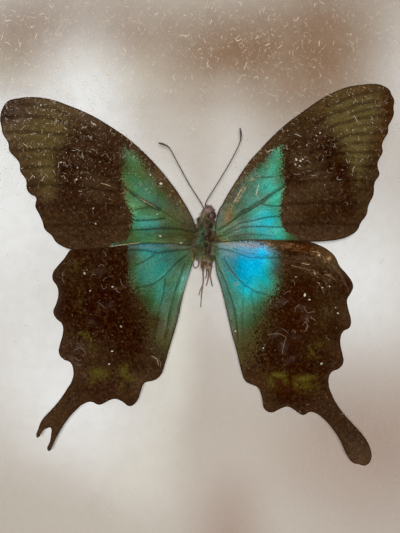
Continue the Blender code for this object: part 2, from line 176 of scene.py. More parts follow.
def set_place(piece, turn=(0, 0, 0), scale=(1, 1, 1)):
    """Turn and stretch a new piece, and put its place, turn and size into its mesh."""
    piece.rotation_euler = turn
    piece.scale = scale
    take(piece)
    bpy.ops.object.transform_apply(location=True, rotation=True, scale=True)
    return piece


def join(pieces):
    """Join pieces into the first of them."""
    take(pieces[0])
    for piece in pieces[1:]:
        piece.select_set(True)
    bpy.ops.object.join()
    return pieces[0]


def declare(piece, name, slot, *nodes):
    """Name a finished piece, hang it under the root and hide the solids that it stands for; the slot is not used.
    """
    piece.name = name
    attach(piece, "root")
    if nodes:
        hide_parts(*nodes)
    print(name, len(piece.data.vertices), "points", len(piece.data.polygons), "faces")


print("modelling helpers ready")

# %% [markdown]
# ## Shader sums as plain expressions
#
# A finish is a sum of masks and colours. Written node by node it is long and hard to follow, so one class wraps
# a socket and lets ordinary operators add the Math nodes, and another holds one material and adds all others.

# %% Material helpers
class Value:
    """A number, vector or colour somewhere in a material."""

    def __init__(self, paint, socket):
        self.paint = paint
        self.socket = socket

    def math(self, operation, *terms):
        return self.paint.node("ShaderNodeMath", {"operation": operation}, dict(enumerate(terms)))

    def __add__(self, other):
        return self.math("ADD", self, other)

    def __radd__(self, other):
        return self.math("ADD", other, self)

    def __sub__(self, other):
        return self.math("SUBTRACT", self, other)

    def __rsub__(self, other):
        return self.math("SUBTRACT", other, self)

    def __mul__(self, other):
        return self.math("MULTIPLY", self, other)

    def __abs__(self):
        return self.math("ABSOLUTE", self)

    def __or__(self, other):
        return self.math("MAXIMUM", self, other)

    def step(self, low, high):
        """Rise smoothly from 0 at low to 1 at high; with low above high it falls."""
        settings = {"interpolation_type": "SMOOTHSTEP"}
        return self.paint.node("ShaderNodeMapRange", settings, {0: self, 1: low, 2: high})


class Paint:
    """One material, built from a few calls."""

    def __init__(self, name, **constants):
        self.material = bpy.data.materials.new(name)
        self.material.use_nodes = True
        self.tree = self.material.node_tree
        self.shader = self.tree.nodes["Principled BSDF"]
        for socket, value in constants.items():
            self.shader.inputs[socket.replace("_", " ")].default_value = value

    def node(self, kind, settings=None, inputs=None, output=0):
        """Add any node: its settings first, then the values or links of its sockets."""
        node = self.tree.nodes.new(kind)
        for setting, value in (settings or {}).items():
            if setting == "stops":
                for number, (position, colour) in enumerate(value):
                    new = number >= len(node.color_ramp.elements)
                    stop = node.color_ramp.elements.new(position) if new else node.color_ramp.elements[number]
                    stop.position = position
                    stop.color = colour
            else:
                setattr(node, setting, value)
        for socket, value in (inputs or {}).items():
            if isinstance(value, Value):
                self.tree.links.new(value.socket, node.inputs[socket])
            else:
                node.inputs[socket].default_value = value
        return Value(self, node.outputs[output])

    def place(self, stretch=(1, 1, 1)):
        """Object coordinates in millimetres, stretched if asked."""
        spot = self.node("ShaderNodeTexCoord", output="Object")
        scale = tuple(1000 * part for part in stretch)
        return self.node("ShaderNodeVectorMath", {"operation": "MULTIPLY"}, {0: spot, 1: scale})

    def noise(self, place, scale, detail=2.0, roughness=0.5, distortion=0.0):
        """Soft random patches, about 1 / scale across."""
        inputs = {"Vector": place, "Scale": scale, "Detail": detail, "Roughness": roughness}
        return self.node("ShaderNodeTexNoise", inputs={**inputs, "Distortion": distortion})

    def mark(self, name):
        """A value that was worked out at each point of the mesh."""
        return self.node("ShaderNodeAttribute", {"attribute_name": name}, output="Fac")

    def mix(self, share, first, second):
        """Blend two colours."""
        return self.node("ShaderNodeMix", {"data_type": "RGBA"}, {0: share, 6: first, 7: second}, output=2)

    def ramp(self, value, stops):
        """Turn a number into a colour, by stops."""
        return self.node("ShaderNodeValToRGB", {"stops": stops}, {0: value})

    def bump(self, height, strength, distance):
        """Relief that only the light sees; the distance is in millimetres."""
        inputs = {"Height": height, "Strength": strength, "Distance": distance * MM}
        return self.node("ShaderNodeBump", inputs=inputs)

    def feed(self, socket, value):
        """Link a varying value to the shader."""
        self.tree.links.new(value.socket, self.shader.inputs[socket])


def shade(red, green, blue):
    """A colour in steps of 0 to 255, as the linear values that light adds up in."""
    return tuple((part / 255) ** 2.2 for part in (red, green, blue)) + (1.0,)


def coat(piece, *paints):
    """Give a piece its finish in place of any that it had."""
    piece.data.materials.clear()
    for paint in paints:
        piece.data.materials.append(paint.material)


print("material helpers ready")

# %% [markdown]
# ## The floor under the case
#
# A plain pale table top, which only catches the case's shadow. It isn't part of the object.

# %% Floor
FLOOR_SIZE = 8.0
FLOOR_GAP = 0.2 * MM
bpy.ops.mesh.primitive_plane_add(size=FLOOR_SIZE, location=(0, 0, -FLOOR_GAP))
floor = bpy.context.object
floor.name = "floor"
floor_paint = Paint("pale_table", Roughness=0.8)
floor_paint.shader.inputs["Base Color"].default_value = shade(222, 220, 216)
coat(floor, floor_paint)
print("floor", FLOOR_SIZE, "m wide")

# %% [markdown]
# ## The wooden case
#
# Four mitred rails of a dark-stained hardwood, and a plain thin panel let into the bottom. The solids already
# have the right section, so they stay and only get a finish. Grain runs along a rail, so its pattern is squeezed
# along one axis: one finish serves the front and back rails and a second, turned, the two sides.

# %% Wood finish
GRAIN_SQUEEZE = 0.045
RAIL_ROUGHNESS, PANEL_ROUGHNESS = 0.34, 0.62


def wood(name, along, dark, light, roughness):
    """Stained wood, with its grain along one axis, 0 for X and 1 for Y."""
    paint = Paint(name, Roughness=roughness)
    squeeze = [1.0, 1.0, 1.0]
    squeeze[along] = GRAIN_SQUEEZE
    place = paint.place(squeeze)
    rings = paint.noise(place, 0.55, 4, 0.6, 0.6)
    pores = paint.noise(place, 6.0, 3, 0.7)
    wear = paint.noise(paint.place(), 0.12, 3)
    colour = paint.ramp(rings, [(0.3, dark), (0.7, light)])
    colour = paint.mix(pores.step(0.56, 0.72) * 0.7, colour, tuple(0.4 * part for part in dark[:3]) + (1.0,))
    colour = paint.mix(wear.step(0.5, 0.75) * 0.25, colour, light)
    paint.feed("Base Color", colour)
    paint.feed("Roughness", roughness + wear * 0.16 + pores.step(0.5, 0.75) * 0.15)
    paint.feed("Normal", paint.bump(rings * 0.5 - pores.step(0.52, 0.7), 0.35, 0.12))
    return paint


rail_dark, rail_light = shade(44, 27, 18), shade(92, 58, 36)
across_paint = wood("stained_wood_across", 0, rail_dark, rail_light, RAIL_ROUGHNESS)
along_paint = wood("stained_wood_along", 1, rail_dark, rail_light, RAIL_ROUGHNESS)
base_paint = wood("plain_panel", 1, shade(142, 108, 76), shade(172, 136, 98), PANEL_ROUGHNESS)
for node, paint in {
    "rail_front": across_paint, "rail_back": across_paint,
    "rail_left": along_paint, "rail_right": along_paint, "base_panel": base_paint,
}.items():
    coat(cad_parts[node], paint)
print("finished 4 rails and the base panel")

# %% [markdown]
# ## The paper on the pinning board
#
# The board is foam under a sheet of matt paper, a warm grey. The light and shade that fall on it are painted
# into its colour as wide soft patches: painted window light and glare, cooler and paler, at both sides, and
# painted shade, brown, along the top and in the bottom corner. Each patch is an oval that fades to nothing,
# laid over the one before, and noise wobbles its edge. Finer noise is the paper's tooth.

# %% Paper finish
# Painted light: cool and cream. Painted shade: brown and rose.
PAINTED_LIGHT_COOL, PAINTED_LIGHT_CREAM = shade(246, 248, 248), shade(232, 230, 218)
PAINTED_SHADE_BROWN, PAINTED_SHADE_ROSE = shade(138, 108, 82), shade(172, 152, 140)
PAPER_PAINTED_LIGHT = [
    (-53, 17, 49, 90, 1.00, PAINTED_LIGHT_COOL), (-30, -38, 33, 34, 0.92, PAINTED_LIGHT_COOL),
    (-21, 44, 90, 10, 1.00, PAINTED_LIGHT_CREAM), (27, -11, 51, 45, 1.00, PAINTED_LIGHT_COOL), (8, 47, 42, 20, 1.00, PAINTED_SHADE_BROWN),
    (-42, 52, 54, 23, 0.78, PAINTED_SHADE_BROWN), (29, 48, 29, 34, 1.00, PAINTED_SHADE_BROWN),
    (44, -53, 41, 36, 1.00, PAINTED_SHADE_ROSE), (5, -33, 59, 36, 0.24, PAINTED_SHADE_BROWN),
    (-16, -60, 15, 20, 0.38, PAINTED_LIGHT_CREAM), (6, -77, 16, 32, 1.00, PAINTED_SHADE_ROSE),
    (-11, -19, 13, 41, 0.95, PAINTED_LIGHT_CREAM), (59, 37, 23, 31, 0.53, PAINTED_LIGHT_COOL), (7, 15, 10, 38, 0.22, PAINTED_LIGHT_COOL),
    (-32, 30, 19, 36, 1.00, PAINTED_LIGHT_COOL), (-20, 7, 27, 27, 1.00, PAINTED_LIGHT_COOL),
]
paper = Paint("pinning_paper", Roughness=0.92)
spot = paper.place()
clouds = paper.noise(spot, 0.06, 3, 0.5)
mottle = paper.noise(spot, 0.35, 4, 0.6)
fibre = paper.noise(paper.place((1.0, 0.35, 1.0)), 3.2, 3, 0.7)
tone = shade(195, 186, 175)
# Each oval paints a patch of the room's light and shade into the paper's colour.
for x, y, half_width, half_height, strength, painted_tone in PAPER_PAINTED_LIGHT:
    shrink = (1 / half_width, 1 / half_height, 0)
    shift = (-(PIN.x / MM + x) / half_width, -(PIN.y / MM + y) / half_height, 0)
    oval = paper.node("ShaderNodeVectorMath", {"operation": "MULTIPLY_ADD"}, {0: spot, 1: shrink, 2: shift})
    away = paper.node("ShaderNodeVectorMath", {"operation": "LENGTH"}, {0: oval}, "Value")
    tone = paper.mix((away + (clouds - 0.5) * 0.25).step(1.0, 0.0) * strength, tone, painted_tone)
tone = paper.mix(mottle.step(0.35, 0.7) * 0.10, tone, shade(182, 168, 154))
tone = paper.mix(fibre.step(0.5, 0.75) * 0.08, tone, shade(252, 250, 246))
paper.feed("Base Color", tone)
paper.feed("Normal", paper.bump(mottle * 0.6 + fibre * 0.4, 0.15, 0.08))
coat(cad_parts["pinning_board"], paper)
print("paper with", len(PAPER_PAINTED_LIGHT), "stains on the pinning board")

# %% [markdown]
# ## The glass
#
# Flat glass is nearly invisible from straight above and mirrors more the flatter it is looked at. A mirror
# finish does that if its opacity rises with the fifth power of how flat it is seen. This rule is the same for
# both faces of the pane, where a Fresnel node would turn the lower one opaque, and it lets the room's light
# through to the wings. The pin is dull, browned steel.

# %% Glass finish
glass = Paint("window_glass", Roughness=0.03, Metallic=1.0, Base_Color=(0.96, 0.98, 0.97, 1.0))
facing = glass.node("ShaderNodeLayerWeight", inputs={"Blend": 0.5}, output="Facing")
glass.feed("Alpha", facing.math("POWER", facing, 5.0))
coat(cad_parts["glass_pane"], glass)

steel = Paint("pin_steel", Roughness=0.7, Metallic=0.4)
steel_tone = steel.noise(steel.place((1, 1, 0.2)), 3.0, 3)
steel.feed("Base Color", steel.ramp(steel_tone, [(0.3, shade(36, 33, 28)), (0.7, shade(64, 58, 48))]))
coat(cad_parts["pin"], steel)
print("glass and pin finished")

# %% [markdown]
# ## How the wings' markings are drawn
#
# A wing is a skin with coloured scales in rows. No picture is laid on it: the markings are drawn as a setter
# would note them down, as places in millimetres from the pin. There are outlines of patches, lines of veins and
# scuffs, oval blots of rubbed, lilac, rusty or green scales, and places with a tone, which was set and then
# adjusted until the wing matched. Each is turned into a value at every point of a fine net, and the material
# then softens, speckles and colours it.
# Scuff lines and some rubbed blots also carry painted glints, where the light catches bare membrane.

# %% Drawing tools
FAR = 99.0
OUTLINE_SPACING = 0.8


def smooth_line(points, spacing=0.6):
    """Run a smooth line through a few points and return points close together on it."""
    knots = np.array(points, float)
    knots = np.vstack([2 * knots[0] - knots[1], knots, 2 * knots[-1] - knots[-2]])
    line = [knots[1]]
    for a, b, c, d in zip(knots, knots[1:], knots[2:], knots[3:]):
        steps = max(1, round(np.linalg.norm(c - b) / spacing))
        for t in np.arange(1, steps + 1) / steps:
            line.append(b + 0.5 * t * (c - a + t * (2 * a - 5 * b + 4 * c - d + t * (3 * (b - c) + d - a))))
    return np.array(line)


def line_marks(spots, lines):
    """Distance to the nearest line, the same with the line's side as its sign, and that line's strength."""
    near = np.full(len(spots), FAR)
    side = near.copy()
    strength = np.zeros(len(spots))
    for weight, points in lines:
        line = smooth_line(points)
        for start, end in zip(line, line[1:]):
            run = end - start
            along = np.clip((spots - start) @ run / (run @ run), 0, 1)
            away = spots - start - along[:, None] * run
            distance = np.hypot(away[:, 0], away[:, 1])
            closer = distance < near
            near[closer] = distance[closer]
            turn = run[0] * away[:, 1] - run[1] * away[:, 0]
            side[closer] = np.copysign(distance, turn)[closer]
            strength[closer] = weight
    return near, side, strength


def depth_inside(spots, corners):
    """How deep each spot lies inside a closed outline, in millimetres; it is negative outside."""
    outline = smooth_line([*corners, corners[0]], OUTLINE_SPACING)
    near, _, _ = line_marks(spots, [(1.0, outline)])
    inside = np.zeros(len(spots), bool)
    for (x1, y1), (x2, y2) in zip(outline, outline[1:]):
        if y1 != y2:
            crossing = x1 + (spots[:, 1] - y1) * (x2 - x1) / (y2 - y1)
            inside ^= ((y1 > spots[:, 1]) != (y2 > spots[:, 1])) & (spots[:, 0] < crossing)
    return np.where(inside, near, -near)


def blot_marks(spots, blots):
    """The strongest of some soft oval blots, each x, y, half length, half width, angle and strength."""
    strongest = np.zeros(len(spots))
    for x, y, half_length, half_width, angle, strength in blots:
        turn = math.radians(angle)
        across = spots - (x, y)
        u = (across[:, 0] * math.cos(turn) + across[:, 1] * math.sin(turn)) / half_length
        v = (across[:, 1] * math.cos(turn) - across[:, 0] * math.sin(turn)) / half_width
        strongest = np.maximum(strongest, strength * np.exp(-(u * u + v * v)))
    return strongest


def spread_notes(spots, notes, rounding=1.0):
    """Spread values noted at a few places smoothly over all spots; a note is x, y and its values."""
    notes = np.array(notes, float)
    places, values = notes[:, :2], notes[:, 2:]
    count = len(notes)

    def reach(some):
        return np.sqrt(((some[:, None] - places) ** 2).sum(axis=2) + rounding ** 2)

    sums = np.ones((count + 1, count + 1))
    sums[:count, :count] = reach(places)
    sums[count, count] = 0
    shares = np.linalg.solve(sums, np.vstack([values, np.zeros(values.shape[1])]))
    spread = reach(spots) @ shares[:count] + shares[count]
    return np.clip(spread, values.min(axis=0), values.max(axis=0)).T


print("drawing tools ready")

# %% [markdown]
# ## Markings of the left forewing
#
# The patch of bright scales fills the inner third and stops at a firm edge. Its hue runs from 0, olive, over
# 0.3, leaf green, and 0.6, turquoise, to 1, sky blue. Beyond it the ground is dark, with an olive field before
# the tip that the veins cut into strips. Each tone is a place with its hue, its lightness and how dull it is,
# and each note of the ground is a place with how olive, how dusty and how flecked with pale scales it is.

# %% Left forewing
FOREWING_LEFT = {
    "patch": [
        (-20.6, 22.5), (-21.2, 20), (-21.3, 17), (-21.1, 14.5), (-20.7, 12.5), (-20.3, 10.5), (-19.6, 8.6),
        (-18.7, 7.2), (-18.2, 5.6), (-18.3, 4), (-18.6, 2.5), (-19.2, 1), (-19.8, -0.5), (-21.2, -1.3),
        (-23.4, -1.9), (-23, -3.2), (-14, -3), (-2, -3), (-0.8, 1), (-2, 3.6), (-4.4, 6), (-6.8, 8.6),
        (-9, 10.8), (-11, 12.8), (-12.6, 14.6), (-14.2, 16.4), (-15.4, 18.2), (-16.8, 20), (-18.8, 21.6),
    ],
    "softness": [(-21, 15, 1), (-18.5, 4, 0.9), (-16, 18, 1.8), (-10, 12, 2.8), (-4, 5, 3), (-4, 0, 1.4)],
    "tones": [
        (-20.4, 21.8, 0.15, 0.71, 0.19), (-19, 20, 0.27, 0.83, 0.15), (-20.8, 18.6, 0.05, 0.34, 0.00),
        (-20.7, 15.4, 0.13, 0.81, 0.00), (-18.6, 17.6, 0.19, 0.80, 0.00), (-18.4, 14.4, 0.34, 0.75, 0.06),
        (-16.4, 13, 0.41, 0.72, 0.08), (-14.4, 11.3, 0.46, 0.82, 0.11), (-12.8, 9.8, 0.43, 0.59, 0.19),
        (-11.6, 8.4, 0.40, 0.54, 0.31), (-16.2, 15.8, 0.14, 0.84, 0.00), (-14.8, 14.2, 0.27, 0.68, 0.17),
        (-12.6, 12.4, 0.17, 0.64, 0.11), (-10.8, 10.4, 0.19, 0.65, 0.08), (-9.4, 8.8, 0.12, 0.55, 0.18),
        (-7.4, 7.6, 0.08, 0.64, 0.20), (-20, 12.2, 0.07, 1.18, 0.00), (-19.4, 10.2, 0.23, 1.00, 0.10),
        (-17.6, 9.2, 0.33, 1.04, 0.12), (-15.6, 8.4, 0.28, 0.90, 0.17), (-18.2, 7.5, 0.29, 1.61, 0.10),
        (-15.8, 6.9, 0.31, 0.84, 0.05), (-13.6, 6.8, 0.26, 0.73, 0.15), (-17.3, 5.6, 0.42, 1.02, 0.06),
        (-15.2, 5.6, 0.41, 1.04, 0.10), (-12.8, 5.5, 0.36, 0.95, 0.10), (-10.6, 5.6, 0.13, 0.84, 0.05),
        (-17.4, 3.2, 0.50, 0.84, 0.05), (-15, 3.2, 0.67, 0.68, 0.22), (-12.6, 3.3, 0.60, 0.67, 0.20),
        (-10.8, 3.6, 0.38, 0.55, 0.31), (-8.6, 3.4, 0.14, 0.65, 0.06), (-17.8, 1.2, 0.26, 0.81, 0.04),
        (-14.6, 1.2, 0.41, 0.60, 0.05), (-12, 0.9, 0.29, 0.55, 0.18), (-19.2, -0.2, 0.15, 0.58, 0.00),
        (-16, -0.5, 0.35, 0.78, 0.05), (-12.6, -0.7, 0.26, 0.96, 0.11), (-22, -1.9, 0.46, 0.54, 0.01),
        (-9, 0.5, 0.10, 0.57, 0.02), (-6.8, 1.6, 0.10, 0.63, 0.00), (-8.2, 5.4, 0.09, 0.74, 0.07),
        (-6, 4.6, 0.06, 0.75, 0.10), (-4.4, 2.2, 0.02, 0.56, 0.05), (-4, -0.6, 0.05, 0.42, 0.02),
        (-6.4, -1.2, 0.10, 0.77, 0.09), (-3, 2.6, 0.06, 0.39, 0.24), (-3, 0.2, 0.00, 0.76, 0.04),
    ],
    "veins": [
        (1, [(-22.6, 14.6), (-20.5, 12.8), (-18.8, 11.5), (-17, 10.3), (-15, 9.1), (-13.2, 8.1), (-11.4, 7.3)]),
        (1, [(-22.4, 13.8), (-19.8, 12), (-17.8, 10.5), (-15.8, 9.1), (-13.8, 7.8), (-12, 6.9)]),
        (0.45, [(-11.6, 7), (-9.5, 5.7), (-7, 4.3), (-4, 3)]),
        (0.7, [(-18, 7), (-16.5, 7.4), (-14.6, 7.6)]),
        (1, [(-18.8, 4.4), (-16, 4.4), (-13, 4.6), (-10.5, 4.9)]),
        (1, [(-19.2, 2), (-16, 2.1), (-13, 2.3), (-9.5, 2.5), (-6.5, 2.2), (-3.4, 1.6)]),
        (0.4, [(-12.5, -0.2), (-9, 0.4), (-6, 0.7), (-3.4, 0.6)]),
        (0.4, [(-7.2, 4.2), (-6, 3.7), (-5, 3.6)]),
        (1, [(-49.9, 30.2), (-45, 30.4), (-40, 30.1), (-37, 29.3), (-33, 27.5), (-28, 25)]),
        (1, [(-49.6, 26.4), (-44, 26.5), (-38, 26), (-34, 25.6), (-28, 24)]),
        (1, [(-48, 22), (-44, 22), (-41, 22.1), (-37, 22.2), (-31, 21.4), (-25, 19.4)]),
        (1, [(-46, 17.4), (-43, 17.7), (-40, 17.8), (-37, 18), (-30, 17.2), (-24, 15.4)]),
        (0.9, [(-44, 12.9), (-41, 13.2), (-38, 13.3), (-30, 12.6), (-22.6, 11.6)]),
        (0.8, [(-41.8, 7.8), (-36, 8.2), (-28, 8), (-21, 8)]),
        (0.8, [(-40, 3), (-33, 3.4), (-26, 3.4), (-19.5, 3.6)]),
        (0.9, [(-46.5, 33.4), (-41, 33), (-37, 31.8), (-33, 29.6), (-28, 27)]),
        (0.5, [(-48.8, 24.2), (-44, 24.3), (-39, 24.2)]), (0.5, [(-46.6, 19.6), (-42, 19.9), (-37.6, 20)]),
    ],
    "ground": [
        (-47, 33.6, 0.07, 0.35, 0.3), (-42, 33, 0.34, 0.79, 0.3), (-37, 32, 0.43, 0.96, 0.4),
        (-33, 31, 0.19, 0.80, 0.6), (-29, 29.5, 0.06, 0.69, 0.6), (-25, 27, 0.01, 0.57, 0.3),
        (-22, 24.6, 0.02, 0.29, 0.3), (-33, 28, 0.15, 0.66, 0.8), (-36, 28.4, 0.59, 0.69, 0.4),
        (-40, 28.4, 0.70, 0.62, 0.2), (-45, 29, 0.48, 0.44, 0.2), (-49.5, 29.6, 0.00, 0.27, 0.2),
        (-50, 26.4, 0.44, 1.00, 0.3), (-47, 26.6, 0.53, 1.00, 0.2), (-42, 25, 0.81, 0.56, 0.2),
        (-38, 25, 0.84, 0.37, 0.25), (-35.6, 25.4, 0.47, 0.35, 0.4), (-34, 24, 0.04, 0.32, 0.3),
        (-47.6, 22.6, 0.17, 0.75, 0.3), (-44, 23, 0.61, 0.73, 0.2), (-40, 21, 0.69, 0.13, 0.35),
        (-37.4, 21, 0.31, 0.08, 0.3), (-35.4, 20, 0.03, 0.19, 0.3), (-46, 18.5, 0.21, 0.85, 0.3),
        (-43, 19, 0.50, 0.54, 0.2), (-39.4, 17, 0.93, 0.74, 0.4), (-37.2, 17, 0.16, 0.15, 0.3),
        (-44.4, 14.4, 0.10, 0.53, 0.3), (-41.4, 14.8, 0.30, 0.31, 0.2), (-38.6, 14.6, 0.59, 0.01, 0.3),
        (-36.4, 14.4, 0.14, 0.18, 0.2), (-43.6, 12, 0.00, 0.50, 0.2), (-39.2, 11.6, 0.54, 0.55, 0.5),
        (-36.8, 11.4, 0.02, 0.26, 0.2), (-41, 8.6, 0.00, 0.41, 0.4), (-38, 8.6, 0.01, 0.41, 0.6),
        (-39, 4, 0.08, 0.41, 0.3), (-31.6, 21, 0.01, 0.40, 0.8), (-27, 24.6, 0.00, 0.42, 0.5),
        (-27, 19, 0.00, 0.18, 0.3), (-24, 17.4, 0.00, 0.17, 0.5), (-31, 15, 0.05, 0.30, 0.6),
        (-27, 12.6, 0.10, 0.44, 0.3), (-33, 8, 0.03, 0.18, 0.4), (-27, 7, 0.02, 0.16, 0.5),
        (-22.5, 10, 0.05, 0.24, 0.4), (-22, 4, 0.07, 0.32, 0.4), (-33, 3, 0.06, 0.31, 0.5),
        (-22.4, 20, 0.05, 0.19, 0.3), (-19, 23, 0.00, 0.54, 0.8), (-16, 20.8, 0.00, 0.52, 0.9),
        (-13.6, 18, 0.01, 0.63, 0.9), (-11.6, 15.6, 0.19, 0.93, 0.7), (-9.4, 13, 0.16, 0.72, 0.7),
        (-7, 10, 0.25, 0.61, 0.3), (-4.6, 6.4, 0.46, 1.00, 0.2), (-3.4, 4, 0.20, 0.75, 0.2),
    ],
    "rubs_and_highlights": [(-9.2, 10.4, 0.8, 0.6, 30, 0.4), (-15.4, 9.2, 2.6, 0.18, -32, 0.45), (-6.6, 9.4, 3, 0.35, -54, 0.4)],
    "lunules": [],
    "lilac": [
        (-13.4, -1.9, 5, 0.5, 0, 0.3), (-49.6, 26, 1.6, 3, 0, 0.5), (-47.5, 31, 4.5, 4, 0, 0.5),
        (-41, 33.4, 5, 1.6, -6, 0.36), (-33, 31, 6, 1.5, -18, 0.25),
    ],
    "rust": [],
    "scuffs_and_glints": [
        (0.6, [(-26, 13.6), (-25, 13.4), (-24, 13)]), (0.4, [(-23.8, -2.1), (-20, -1.6), (-16.8, -1.2)]),
        (0.2, [(-17, 10.2), (-15, 9), (-13, 7.9)]),
    ],
}
print("left forewing:", len(FOREWING_LEFT["veins"]), "veins")
